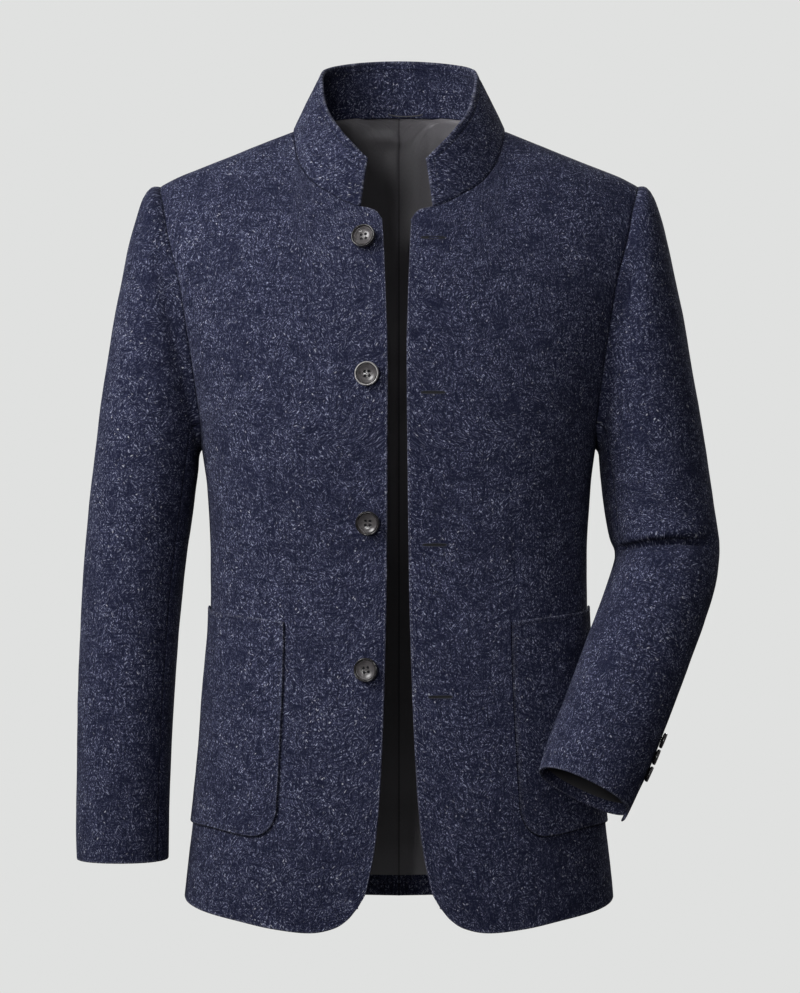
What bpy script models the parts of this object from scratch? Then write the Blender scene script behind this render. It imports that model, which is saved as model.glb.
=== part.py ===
"""A wool jacket with a standing collar, worn open and filled out as if on a wearer.

The origin is on the jacket's middle line, level with the points where the shoulder
seams meet the collar. X points to the wearer's left, Y to the back and Z up. Tables
and sizes are in millimetres, and each mesh is made in metres.

Every panel is a loft: a grid of points on its outer face, with its wall inside it.
Neighbouring panels share the points of their seam, so that their walls meet there in
a mitre, and each then draws back by half of the seam's gap.
"""

import math
from collections import namedtuple

import bmesh
import bpy
from mathutils import Vector

MM = 0.001
PATH_SAMPLES = 24

# Cloth and gaps
CLOTH = 2.0
COLLAR_CLOTH = 4.0
LINING_CLOTH = 1.0
SEAM_GAP = 0.6
COLLAR_GAP = 0.7
ARMHOLE_GAP = 1.3
LAID_GAP = 0.8
LINING_GAP = 0.7
LINING_EDGE = 4.0
CLOTH_SHARP_ANGLE = 50.0

# The body
SECTION_POWER = 2.6
SIDE_SEAM_ANGLE = 90.0
SIDE_HEM_Z = -724.0
BACK_HEM_Z = -741.0
HEM_BAND = 19.0
ARMPIT_Z = -303.0
BODY_ROWS = 11
NECK_POINT_X = 101.0
SHOULDER_TIP_X = 227.0
SHOULDER_COLUMNS = 5
CORNER_COLUMNS = 2
FRONT_NECK_COLUMNS = 7
BACK_NECK_COLUMNS = 6
HEM_CORNER_Z = -724.5
EDGE_TOP_Z = -93.0
NECK_SOFTNESS = 0.45
NECK_SOFT_DROP = 45.0
NECK_SOFT_END_X = 170.0
BACK_RISE_DROP = 90.0
SWAY = 2.0
SWAY_DEPTH = 90.0
SWAY_TOP_Z = -100.0
SWAY_END_Z = -700.0

# The sleeves
SLEEVE_STATIONS = 20
FRONT_SEAM_STATION = 8
BACK_SEAM_STATIONS = {"right": 17, "left": 18}
VENT_DROPS = {"right": 2.0, "left": 8.0}
SLEEVE_POWER = 2.2
CUFF_FACING_RINGS = 1
CUFF_LINING_RINGS = 2

# The collar
COLLAR_ROWS = 3
COLLAR_BULGE = 0.8

# The pockets
POCKET_COLUMNS = 12
POCKET_ROWS = 8
POCKET_OUTER_ANGLE = 89.4

# The buttons
BUTTON_RADIUS = 11.3
BUTTON_STEPS = 18
BUTTON_TILT_SPAN = 5.0
BUTTON_SHARP_ANGLE = 35.0
BUTTON_HOLE_STEPS = 6
BUTTON_HOLE_RADIUS = 1.0
BUTTON_HOLE_OFFSET = 1.9
BUTTON_GAP = 0.7
CUFF_BUTTON_RADIUS = 7.5
CUFF_BUTTON_STEPS = 12
CUFF_BUTTON_COUNT = 3
CUFF_BUTTON_GAP = 0.8
CUFF_BUTTON_FIRST = 38.0
CUFF_BUTTON_PITCH = 17.5
CUFF_BUTTON_INSET = 14.0

Finish = namedtuple("Finish", "colour roughness")
WOOL = Finish((0.021, 0.026, 0.060), 0.9)
SATIN = Finish((0.022, 0.022, 0.025), 0.45)
HORN = Finish((0.030, 0.030, 0.034), 0.3)

Level = namedtuple("Level", "z half_width")
LEVELS = [Level(*row) for row in (
    (30, 262),
    (-53, 258),
    (-85, 254),
    (-136, 240),
    (-197, 213),
    (-251, 197),
    (-285, 189.5),
    (-304, 186.3),
    (-340, 181.5),
    (-402, 178.3),
    (-452, 178.4),
    (-524, 183.2),
    (-602, 189.6),
    (-658, 195.6),
    (-712, 202),
    (-760, 206),
)]

# How far the front and back stand from the shoulder seams' plane at each drop below
# the top of the shoulders
Depth = namedtuple("Depth", "drop front back")
DEPTHS = [Depth(*row) for row in (
    (0, 0, 0),
    (5, 22, 24),
    (15, 40, 44),
    (30, 57, 62),
    (60, 79, 84),
    (100, 98, 103),
    (150, 113, 116),
    (210, 123, 122),
    (280, 126, 120),
    (360, 119, 108),
    (430, 112, 101),
    (510, 113, 108),
    (600, 118, 120),
    (680, 121, 125),
    (790, 123, 122),
)]

# The line that the drops are measured from: the shoulder seam, carried on to the
# middle of the neck, and how much higher it starts on the back under the collar
Top = namedtuple("Top", "x z back_rise")
TOPS = [Top(*row) for row in (
    (0, 22, 30),
    (30, 19, 29.5),
    (60, 12, 25.5),
    (80, 6, 19.5),
    (92, 2, 11),
    (NECK_POINT_X, -1, 0),
    (115, -6.5, 0),
    (191, -37, 0),
    (210, -44.5, 0),
    (SHOULDER_TIP_X, -53, 0),
    (260, -72, 0),
)]

Armhole = namedtuple("Armhole", "z front_x back_x")
ARMHOLE = [Armhole(*row) for row in (
    (-53, SHOULDER_TIP_X, SHOULDER_TIP_X),
    (-85, 219, 220),
    (-136, 207, 207.5),
    (-197, 196.5, 195),
    (-251, 189.2, 187.5),
    (-285, 185.9, 184.2),
    (-296, 186.6, 186.2),
)]

# Half of the opening between the fronts
Edge = namedtuple("Edge", "z half_gap")
FRONT_EDGE = [Edge(*row) for row in (
    (EDGE_TOP_Z, 13.4),
    (-113, 12.3),
    (-164, 10.2),
    (-220, 9),
    (-305, 9.5),
    (-433, 10.7),
    (-532, 13.3),
    (-611, 16.8),
    (-650, 19.8),
    (-675, 22.9),
    (-693, 26.5),
    (-711, 30.6),
    (HEM_CORNER_Z, 38),
)]

Outline = namedtuple("Outline", "x z")
FRONT_HEM = [Outline(*row) for row in (
    (38, HEM_CORNER_Z),
    (47.6, -735.5),
    (61, -743.5),
    (83, -747.5),
    (117, -744.5),
    (153, -738),
    (186, -732),
)]
BACK_HEM = [Outline(*row) for row in (
    (0, BACK_HEM_Z),
    (100, -738),
    (170, -731),
)]
FRONT_CORNER = [Outline(*row) for row in (
    (13.4, EDGE_TOP_Z),
    (20, -84.5),
    (34.8, -80),
)]
FRONT_NECK = [Outline(*row) for row in (
    (34.8, -80),
    (46, -76),
    (60, -68),
    (77.5, -56.5),
    (88.5, -43),
    (95, -29),
    (98.5, -14),
    (NECK_POINT_X, -1),
)]
BACK_NECK = [Outline(*row) for row in (
    (0, 19.2),
    (30, 18.4),
    (60, 15.5),
    (80, 11),
    (92, 6),
    (98, 2),
    (NECK_POINT_X, -1),
)]

# The collar's upper edge, from its front end to the side of the neck and on to the
# middle of the back
Rim = namedtuple("Rim", "x y z")
COLLAR_FRONT_RIM = [Rim(*row) for row in (
    (28, -84, -35),
    (39, -80, -24),
    (52.5, -69, -9),
    (66, -47, 11.5),
    (72.5, -26, 32),
    (75, -2, 51),
)]
COLLAR_BACK_RIM = [Rim(*row) for row in (
    (75, -2, 51),
    (73, 14, 58),
    (66.5, 31, 63),
    (56, 43, 66.5),
    (40, 52, 69.5),
    (20, 58.5, 71.3),
    (0, 60.5, 71.8),
)]

POCKET_TOP = [Outline(*row) for row in (
    (105, -464),
    (128, -461),
    (152, -458.5),
    (176, -455),
)]
POCKET_INNER = [Outline(*row) for row in (
    (105, -464),
    (106, -523),
    (108.5, -573),
    (111.2, -625),
    (112.5, -640),
    (117, -651),
)]
POCKET_BOTTOM = [Outline(*row) for row in (
    (117, -651),
    (124, -657.5),
    (134, -660.5),
    (150, -659),
    (172, -655),
    (190, -654),
)]
POCKET_TOP_OUTER_Z = -452.0
POCKET_BOTTOM_OUTER_Z = -654.0

# One row for each ring of a sleeve below the armhole: its outer and inner points as
# the front shows them, its middle's depth, how far it bulges to the front and back,
# how far its front leans up, and how far its seams turn round the arm
Ring = namedtuple("Ring", "outer_x outer_z inner_x inner_z middle_y front back lean turn")
RIGHT_SLEEVE = [Ring(*row) for row in (
    (235.0, -54.5, 188.0, -304.5, 0, 63, 66, 0, 0),
    (242.5, -64.5, 189.0, -306.5, 0, 66, 69, 0, 0),
    (249.0, -85.0, 190.0, -309.5, 0, 69, 72, 0, 0),
    (256.5, -113.0, 190.5, -314.0, 0, 71, 74, 0, 0),
    (263.3, -147.0, 190.8, -320.0, 0, 72, 74, 0, 0),
    (270.5, -183.0, 191.6, -328.0, 0, 72, 73, 0, 0),
    (277.3, -225.0, 193.2, -341.0, 0, 71, 71, 0, 0),
    (283.8, -270.0, 195.0, -357.0, -1, 69, 69, 0, 0),
    (289.2, -318.0, 197.7, -377.0, -2, 66, 66, 0, 0),
    (294.6, -368.0, 201.2, -401.0, -3, 63, 63, 0, 0),
    (299.0, -420.0, 205.2, -436.0, -5, 60, 61, 0, 0),
    (301.7, -478.0, 209.0, -484.0, -8, 57, 58, 0, 0),
    (303.3, -540.0, 213.0, -541.0, -12, 54, 55, 0, 0),
    (304.2, -600.0, 215.7, -600.0, -16, 51, 52, 0, 0),
    (304.6, -636.0, 216.6, -635.0, -18, 49, 50, 0, 0),
    (304.5, -664.0, 217.0, -663.0, -20, 48.5, 49, 0, 0),
    (303.6, -689.0, 217.2, -689.0, -21, 48, 48, 0, 0),
)]
LEFT_SLEEVE = [Ring(*row) for row in (
    (235.0, -54.5, 188.0, -304.5, 0, 63, 66, 0, 0),
    (242.3, -64.7, 189.0, -306.5, 0, 66, 69, 0, 0),
    (249.0, -84.5, 189.9, -309.5, 0, 69, 72, 0, 0),
    (255.5, -111.0, 190.2, -313.0, 0, 71, 74, 0, 0),
    (263.0, -146.0, 190.6, -318.5, 0, 72, 74, 0, 0),
    (270.5, -182.0, 191.2, -326.0, -1, 72, 73, 0, 0),
    (277.9, -225.0, 192.6, -338.5, -2, 71, 71, 0, 0),
    (285.3, -268.0, 194.2, -353.0, -4, 69, 69, 0, 0),
    (292.0, -312.0, 196.4, -371.0, -7, 67, 66, 3, 0),
    (297.5, -352.0, 199.4, -387.0, -11, 65, 62, 6, 3),
    (302.0, -384.0, 203.2, -396.0, -14, 65, 59, 9, 6),
    (302.9, -395.0, 204.0, -400.5, -16, 56, 58, 11, 8),
    (302.2, -410.0, 203.4, -407.5, -20, 58, 57, 15, 10),
    (297.5, -434.0, 199.5, -419.5, -30, 58, 55, 20, 14),
    (286.6, -464.0, 190.2, -443.5, -49, 54, 50, 23, 18),
    (271.2, -501.0, 177.0, -474.5, -73, 50, 46, 25, 22),
    (257.6, -532.0, 165.0, -503.0, -92, 46, 42, 25, 25),
    (244.5, -562.0, 153.0, -531.5, -108, 42, 38, 25, 28),
    (229.5, -595.0, 140.5, -560.5, -122, 39, 36, 24, 30),
    (218.5, -617.0, 133.5, -579.5, -131, 37, 34, 22, 30),
    (209.0, -636.0, 128.4, -596.0, -137, 36, 33, 21, 30),
)]

Place = namedtuple("Place", "x z")
BUTTON_PLACES = [Place(*row) for row in (
    (30.0, -110.5),
    (27.3, -236.0),
    (27.3, -372.0),
    (29.1, -507.0),
)]

# Half of a button's profile for a radius of 1, from the middle of its face round to
# the middle of its back
Profile = namedtuple("Profile", "radius height")
BUTTON_PROFILE = [Profile(*row) for row in (
    (0.00, 0.26),
    (0.68, 0.27),
    (0.80, 0.40),
    (0.92, 0.41),
    (1.00, 0.32),
    (1.00, 0.12),
    (0.84, 0.00),
    (0.00, 0.00),
)]


def steady(keys, values, key):
    """Return the value at a key on a smooth curve that never overshoots its rows."""
    if keys[0] > keys[-1]:
        keys, values = keys[::-1], values[::-1]
    if key <= keys[0]:
        return values[0]
    if key >= keys[-1]:
        return values[-1]
    slopes = [(values[i + 1] - values[i]) / (keys[i + 1] - keys[i]) for i in range(len(keys) - 1)]
    tangents = [slopes[0]]
    for before, after in zip(slopes, slopes[1:]):
        flat = before * after <= 0
        tangents.append(0.0 if flat else 2 * before * after / (before + after))
    tangents.append(slopes[-1])
    i = max(j for j in range(len(keys) - 1) if keys[j] <= key)
    step = keys[i + 1] - keys[i]
    t = (key - keys[i]) / step
    return (values[i] * (1 + 2 * t) * (1 - t) ** 2 + values[i + 1] * t * t * (3 - 2 * t)
            + step * t * (1 - t) * (tangents[i] * (1 - t) - tangents[i + 1] * t))


def look_up(table, key_name, value_name, key):
    """Return a table's value in one column at a key in another."""
    keys = [getattr(row, key_name) for row in table]
    values = [getattr(row, value_name) for row in table]
    return steady(keys, values, key)


def smooth_path(points, count):
    """Return count + 1 points, evenly apart, on a smooth curve through the points."""
    points = [Vector(point) for point in points]
    ends = [points[0] * 2 - points[1]] + points + [points[-1] * 2 - points[-2]]
    fine = []
    for before, start, stop, after in zip(ends, ends[1:], ends[2:], ends[3:]):
        for step in range(PATH_SAMPLES):
            t = step / PATH_SAMPLES
            fine.append(0.5 * (2 * start + (stop - before) * t
                               + (2 * before - 5 * start + 4 * stop - after) * t * t
                               + (3 * start - 3 * stop + after - before) * t ** 3))
    fine.append(points[-1])
    lengths = [0.0]
    for start, stop in zip(fine, fine[1:]):
        lengths.append(lengths[-1] + (stop - start).length)
    path = []
    for k in range(count + 1):
        along = lengths[-1] * k / count
        i = max(j for j in range(len(fine) - 1) if lengths[j] <= along)
        share = (along - lengths[i]) / (lengths[i + 1] - lengths[i])
        path.append(fine[i].lerp(fine[i + 1], share))
    return path


def half_width(z):
    """Return half of the body's width at a height."""
    return look_up(LEVELS, "z", "half_width", z)


def angle_at(x, z):
    """Return the angle from the middle to a place on the body, in degrees up to 90."""
    share = min(x / half_width(z), 1.0)
    return math.degrees(math.asin(share ** (SECTION_POWER / 2)))


def body_point(angle, z):
    """Return a point of the body's outer face, by its angle round from the front."""
    turn = math.radians(angle)
    x = half_width(z) * math.sin(turn) ** (2 / SECTION_POWER)
    front = angle <= 90
    drop = max(look_up(TOPS, "x", "z", x) - z, 0.0)
    if not front:
        drop += look_up(TOPS, "x", "back_rise", x) * math.exp(-drop / BACK_RISE_DROP)
    depth = look_up(DEPTHS, "drop", "front" if front else "back", drop)
    if front:
        near_neck = min(max((NECK_SOFT_END_X - x) / (NECK_SOFT_END_X - NECK_POINT_X), 0.0), 1.0)
        depth *= 1 - NECK_SOFTNESS * near_neck * math.exp(-drop / NECK_SOFT_DROP)
    reach = depth * abs(math.cos(turn)) ** (2 / SECTION_POWER)
    return Vector((x, -reach if front else reach, z))


def placed(point, side):
    """Return a point on its side of the jacket, with the fronts' slight sway."""
    forward = min(max(-point.y / SWAY_DEPTH, 0.0), 1.0)
    high = min(max((point.z - SWAY_END_Z) / (SWAY_TOP_Z - SWAY_END_Z), 0.0), 1.0)
    return Vector((side * point.x - SWAY * forward * high, point.y, point.z))


def patch(left, right, bottom, top, shares):
    """Return rows of places that fill the four lines round a panel."""
    rows = []
    last = len(bottom) - 1
    for k, v in enumerate(shares):
        row = []
        for i in range(last + 1):
            u = i / last
            sides = left[k] * (1 - u) + right[k] * u
            ends = bottom[i] * (1 - v) + top[i] * v
            corners = ((bottom[0] * (1 - u) + bottom[last] * u) * (1 - v)
                       + (top[0] * (1 - u) + top[last] * u) * v)
            row.append(sides + ends - corners)
        rows.append(row)
    return rows


def side_heights():
    """Return the rows' heights on the side seam and up the armhole."""
    band_top = SIDE_HEM_Z + HEM_BAND
    step = (ARMPIT_Z - band_top) / BODY_ROWS
    seam = [SIDE_HEM_Z] + [band_top + step * k for k in range(BODY_ROWS)]
    stations = SLEEVE_STATIONS // 2
    return seam + [armhole_height(stations - k) for k in range(stations + 1)]


def armhole_height(station):
    """Return the height of a station of the armhole, counted from the shoulder."""
    tip_z = ARMHOLE[0].z
    turn = 2 * math.pi * station / SLEEVE_STATIONS
    return ARMPIT_Z + (tip_z - ARMPIT_Z) * (1 + math.cos(turn)) / 2


def armhole_angle(z, column):
    """Return the angle of the armhole's front or back half at a height."""
    bottom = SIDE_SEAM_ANGLE if column == "front_x" else 180 - SIDE_SEAM_ANGLE
    heights = [row.z for row in ARMHOLE] + [ARMPIT_Z]
    angles = [angle_at(getattr(row, column), row.z) for row in ARMHOLE] + [bottom]
    return steady(heights, angles, z)


def chart(outline):
    """Return an outline's places as angles and heights on the body."""
    return [Vector((angle_at(row.x, row.z), row.z)) for row in outline]


def shoulder_places():
    """Return the places along a shoulder seam, from the neck to the tip."""
    step = (SHOULDER_TIP_X - NECK_POINT_X) / SHOULDER_COLUMNS
    xs = [NECK_POINT_X + step * k for k in range(SHOULDER_COLUMNS + 1)]
    return chart([Outline(x, look_up(TOPS, "x", "z", x)) for x in xs])


def row_shares(heights):
    """Return how far up each row is, from 0 at the hem to 1 at the shoulder."""
    return [(z - heights[0]) / (heights[-1] - heights[0]) for z in heights]


def edge_heights(heights, bottom_z, top_z):
    """Return the rows' heights on a middle edge that runs from bottom to top."""
    result = []
    for z in heights:
        if z > ARMPIT_Z:
            share = (z - ARMPIT_Z) / (heights[-1] - ARMPIT_Z)
            result.append(ARMPIT_Z + share * (top_z - ARMPIT_Z))
        else:
            share = (z - heights[0]) / (ARMPIT_Z - heights[0])
            result.append(bottom_z + share * (ARMPIT_Z - bottom_z))
    return result


def front_grid(side):
    """Return the rows of points on a front's outer face."""
    heights = side_heights()
    armhole = [Vector((SIDE_SEAM_ANGLE, z)) for z in heights if z < ARMPIT_Z]
    armhole += [Vector((armhole_angle(z, "front_x"), z)) for z in heights if z >= ARMPIT_Z]
    edges = edge_heights(heights, HEM_CORNER_Z, EDGE_TOP_Z)
    edge = chart([Outline(look_up(FRONT_EDGE, "z", "half_gap", z), z) for z in edges])
    columns = CORNER_COLUMNS + FRONT_NECK_COLUMNS + SHOULDER_COLUMNS
    hem = smooth_path(chart(FRONT_HEM) + [armhole[0]], columns)
    top = chart(FRONT_CORNER)[:CORNER_COLUMNS]
    top += smooth_path(chart(FRONT_NECK), FRONT_NECK_COLUMNS)[:-1] + shoulder_places()
    places = patch(edge, armhole, hem, top, row_shares(heights))
    return [[placed(body_point(*place), side) for place in row] for row in places]


def back_grid(side):
    """Return the rows of points on a half back's outer face."""
    heights = side_heights()
    under = 180 - SIDE_SEAM_ANGLE
    armhole = [Vector((under, z)) for z in heights if z < ARMPIT_Z]
    armhole += [Vector((armhole_angle(z, "back_x"), z)) for z in heights if z >= ARMPIT_Z]
    middle = [Vector((0.0, z)) for z in edge_heights(heights, BACK_HEM_Z, BACK_NECK[0].z)]
    columns = BACK_NECK_COLUMNS + SHOULDER_COLUMNS
    hem = smooth_path(chart(BACK_HEM) + [armhole[0]], columns)
    top = smooth_path(chart(BACK_NECK), BACK_NECK_COLUMNS)[:-1] + shoulder_places()
    places = patch(middle, armhole, hem, top, row_shares(heights))
    return [[placed(body_point(180 - angle, z), side) for angle, z in row] for row in places]


def armhole_ring(side):
    """Return the stations round an armhole, from the shoulder to the front and back."""
    ring = []
    for station in range(SLEEVE_STATIONS):
        z = armhole_height(station)
        if station <= SLEEVE_STATIONS // 2:
            point = body_point(armhole_angle(z, "front_x"), z)
        else:
            point = body_point(180 - armhole_angle(z, "back_x"), z)
        ring.append(placed(point, side))
    return ring


def sleeve_ring(row, side):
    """Return the stations round one ring of a sleeve."""
    outer = Vector((row.outer_x, row.middle_y, row.outer_z))
    inner = Vector((row.inner_x, row.middle_y, row.inner_z))
    middle = (outer + inner) / 2
    across = (outer - inner) / 2
    up = Vector((-across.z, 0, across.x)).normalized()
    lean = math.radians(row.lean)
    forward = Vector((0, -math.cos(lean), 0)) + up * math.sin(lean)
    power = 2 / SLEEVE_POWER
    ring = []
    for station in range(SLEEVE_STATIONS):
        turn = 2 * math.pi * station / SLEEVE_STATIONS + math.radians(row.turn)
        ahead, aside = math.sin(turn), math.cos(turn)
        bulge = row.front if ahead > 0 else row.back
        point = middle + across * math.copysign(abs(aside) ** power, aside)
        point += forward * math.copysign(abs(ahead) ** power, ahead) * bulge
        ring.append(placed(point, side))
    return ring


def sleeve_rings(table, side):
    """Return all the rings of a sleeve, from the armhole to the cuff."""
    return [armhole_ring(side)] + [sleeve_ring(row, side) for row in table]


def stations(rings, first, last):
    """Return part of each ring, from one station on to another."""
    count = SLEEVE_STATIONS
    return [[ring[k % count] for k in range(first, last + 1)] for ring in rings]


def collar_grid():
    """Return the collar's rows of points, from the neck seam up to its rim."""
    seam, rim = [], []
    for side in (-1, 1):
        front = [body_point(*place) for place in smooth_path(chart(FRONT_NECK), FRONT_NECK_COLUMNS)]
        back = [body_point(180 - place[0], place[1])
                for place in smooth_path(chart(BACK_NECK), BACK_NECK_COLUMNS)][::-1]
        low = [placed(point, side) for point in front + back[1:]]
        high = smooth_path(COLLAR_FRONT_RIM, FRONT_NECK_COLUMNS)
        high += smooth_path(COLLAR_BACK_RIM, BACK_NECK_COLUMNS)[1:]
        high = [placed(point, side) for point in high]
        if side > 0:
            low, high = low[-2::-1], high[-2::-1]
        seam += low
        rim += high
    rows = []
    for k in range(COLLAR_ROWS + 1):
        share = k / COLLAR_ROWS
        row = []
        for low, high in zip(seam, rim):
            point = low.lerp(high, share)
            outward = Vector((point.x, point.y, 0)).normalized()
            row.append(point + outward * COLLAR_BULGE * math.sin(math.pi * share))
        rows.append(row)
    return rows


def pocket_grid(side):
    """Return the rows of points on the body under a pocket."""
    top_outer = Vector((POCKET_OUTER_ANGLE, POCKET_TOP_OUTER_Z))
    bottom_outer = Vector((POCKET_OUTER_ANGLE, POCKET_BOTTOM_OUTER_Z))
    top = smooth_path(chart(POCKET_TOP) + [top_outer], POCKET_COLUMNS)
    bottom = smooth_path(chart(POCKET_BOTTOM) + [bottom_outer], POCKET_COLUMNS)
    inner = smooth_path(chart(POCKET_INNER), POCKET_ROWS)[::-1]
    shares = [k / POCKET_ROWS for k in range(POCKET_ROWS + 1)]
    outer = [bottom_outer.lerp(top_outer, share) for share in shares]
    places = patch(inner, outer, bottom, top, shares)
    return [[placed(body_point(*place), side) for place in row] for row in places]


def key_of(point):
    """Return a point rounded, to find the same point in a neighbouring panel."""
    return tuple(round(value, 2) for value in point)


def add_normals(normals, grid, outward):
    """Add the face normals of a grid to the sums kept for its points."""
    for low, high in zip(grid, grid[1:]):
        for i in range(len(low) - 1):
            corners = (low[i], low[i + 1], high[i + 1], high[i])
            normal = (corners[2] - corners[0]).cross(corners[3] - corners[1]) * outward
            for corner in corners:
                key = key_of(corner)
                normals[key] = normals.get(key, Vector((0, 0, 0))) + normal.normalized()


def moved_in(grid, normals, distance):
    """Return a grid moved into the jacket along its points' normals."""
    return [[point - normals[key_of(point)].normalized() * distance for point in row] for row in grid]


def drawn_back(grid, distance, sides="lrbt"):
    """Return a grid whose chosen edges are drawn back along its own lines."""
    rows = [[point.copy() for point in row] for row in grid]
    for row in rows:
        if "l" in sides:
            row[0] += (row[1] - row[0]).normalized() * distance
        if "r" in sides:
            row[-1] += (row[-2] - row[-1]).normalized() * distance
    for i in range(len(rows[0])):
        if "b" in sides:
            rows[0][i] += (rows[1][i] - rows[0][i]).normalized() * distance
        if "t" in sides:
            rows[-1][i] += (rows[-2][i] - rows[-1][i]).normalized() * distance
    return rows


def material(name, finish):
    """Return a plain material of a finish."""
    made = bpy.data.materials.new(name)
    made.use_nodes = True
    shader = made.node_tree.nodes["Principled BSDF"]
    shader.inputs["Base Color"].default_value = (*finish.colour, 1.0)
    shader.inputs["Roughness"].default_value = finish.roughness
    shader.inputs["Metallic"].default_value = 0.0
    made.diffuse_color = (*finish.colour, 1.0)
    return made


def add_wall(collection, name, outer, inner, finish, tube=False):
    """Add a cloth panel: the wall between an outer and an inner grid of points."""
    mesh = bpy.data.meshes.new(name)
    shape = bmesh.new()
    skins = [[[shape.verts.new(point * MM) for point in row] for row in grid]
             for grid in (outer, inner)]
    columns = len(outer[0])
    steps = columns if tube else columns - 1

    def add_quad(a, b, c, d):
        shape.faces.new((a, b, c))
        shape.faces.new((a, c, d))

    for skin, turned in zip(skins, (False, True)):
        for low, high in zip(skin, skin[1:]):
            for i in range(steps):
                j = (i + 1) % columns
                a, b, c, d = low[i], low[j], high[j], high[i]
                if turned:
                    shape.faces.new((a, c, b))
                    shape.faces.new((a, d, c))
                else:
                    add_quad(a, b, c, d)
    out, into = skins
    for i in range(steps):
        j = (i + 1) % columns
        add_quad(out[0][j], out[0][i], into[0][i], into[0][j])
        add_quad(out[-1][i], out[-1][j], into[-1][j], into[-1][i])
    if not tube:
        for k in range(len(out) - 1):
            add_quad(out[k][0], out[k + 1][0], into[k + 1][0], into[k][0])
            add_quad(out[k + 1][-1], out[k][-1], into[k][-1], into[k + 1][-1])
    bmesh.ops.recalc_face_normals(shape, faces=shape.faces)
    shape.to_mesh(mesh)
    shape.free()
    mesh.shade_smooth()
    mesh.set_sharp_from_angle(angle=math.radians(CLOTH_SHARP_ANGLE))
    mesh.materials.append(material(name, finish))
    piece = bpy.data.objects.new(name, mesh)
    collection.objects.link(piece)
    return piece


def add_cloth(collection, name, skins, low_gap=SEAM_GAP / 2):
    """Add a wool panel from its outer and inner grids, drawn back from its seams."""
    skins = [drawn_back(skin, SEAM_GAP / 2, "lrt") for skin in skins]
    outer, inner = [drawn_back(skin, low_gap, "b") for skin in skins]
    return add_wall(collection, name, outer, inner, WOOL)


def button_mesh(name, radius, steps, cutters, holes):
    """Return the mesh of a turned button, with or without its four holes."""
    mesh = bpy.data.meshes.new(name)
    points = [(row.radius * radius * MM, 0, row.height * radius * MM) for row in BUTTON_PROFILE]
    mesh.from_pydata(points, [(i, i + 1) for i in range(len(points) - 1)], [])
    blank = bpy.data.objects.new(name, mesh)
    cutters.objects.link(blank)
    screw = blank.modifiers.new("turned", "SCREW")
    screw.steps = steps
    screw.render_steps = steps
    screw.use_merge_vertices = True
    screw.merge_threshold = 0.00001
    if holes:
        cut = blank.modifiers.new("holes", "BOOLEAN")
        cut.operation = "DIFFERENCE"
        cut.object = hole_cutter(cutters)
    view = bpy.context.evaluated_depsgraph_get()
    made = bpy.data.meshes.new_from_object(blank.evaluated_get(view))
    made.name = name
    bpy.data.objects.remove(blank)
    made.shade_smooth()
    made.set_sharp_from_angle(angle=math.radians(BUTTON_SHARP_ANGLE))
    return made


def hole_cutter(cutters):
    """Return the cutter of a button's four thread holes."""
    shape = bmesh.new()
    for x_side in (-1, 1):
        for y_side in (-1, 1):
            pin = bmesh.ops.create_cone(
                shape, cap_ends=True, segments=BUTTON_HOLE_STEPS,
                radius1=BUTTON_HOLE_RADIUS * MM, radius2=BUTTON_HOLE_RADIUS * MM,
                depth=BUTTON_RADIUS * 2 * MM)
            offset = Vector((x_side, y_side, 0)) * BUTTON_HOLE_OFFSET * MM
            bmesh.ops.translate(shape, verts=pin["verts"], vec=offset)
    mesh = bpy.data.meshes.new("button_holes")
    shape.to_mesh(mesh)
    shape.free()
    cutter = bpy.data.objects.new("button_holes", mesh)
    cutter.hide_render = True
    cutter.display_type = "WIRE"
    cutters.objects.link(cutter)
    return cutter


def add_button(collection, name, mesh, point, normal):
    """Add a button that lies on the cloth at a point, its face along the normal."""
    own_mesh = mesh.copy()
    own_mesh.name = name
    own_mesh.materials.append(material(name, HORN))
    button = bpy.data.objects.new(name, own_mesh)
    button.location = point * MM
    button.rotation_mode = "QUATERNION"
    button.rotation_quaternion = normal.to_track_quat("Z", "Y")
    collection.objects.link(button)
    return button


def add_body(collection, normals, fronts, backs):
    """Add the fronts, the backs and what shows inside the back."""
    for word, side in (("right", -1), ("left", 1)):
        for name, grid in (("front_", fronts[side]), ("back_", backs[side])):
            add_cloth(collection, name + word, [grid, moved_in(grid, normals, CLOTH)])
        inside = moved_in(backs[side], normals, CLOTH + LINING_GAP)
        deeper = moved_in(backs[side], normals, CLOTH + LINING_GAP + LINING_CLOTH)
        band = [drawn_back(grid[:2], SEAM_GAP, "ltb") for grid in (inside, deeper)]
        band = [drawn_back(grid, LINING_EDGE, "r") for grid in band]
        add_wall(collection, "back_hem_facing_" + word, *band, WOOL)
        lining = [grid[1:] for grid in (inside, deeper)]
        lining = [drawn_back(grid, SEAM_GAP, "lb") for grid in lining]
        lining = [drawn_back(grid, LINING_EDGE, "rt") for grid in lining]
        add_wall(collection, "back_lining_" + word, *lining, SATIN)


def add_pockets(collection):
    """Add the patch pockets, made from the fronts' points moved out."""
    for word, side in (("right", -1), ("left", 1)):
        grid = pocket_grid(side)
        normals = {}
        add_normals(normals, grid, side)
        under = moved_in(grid, normals, -LAID_GAP)
        outer = moved_in(grid, normals, -LAID_GAP - CLOTH)
        add_wall(collection, "pocket_" + word, outer, under, WOOL)


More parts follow.
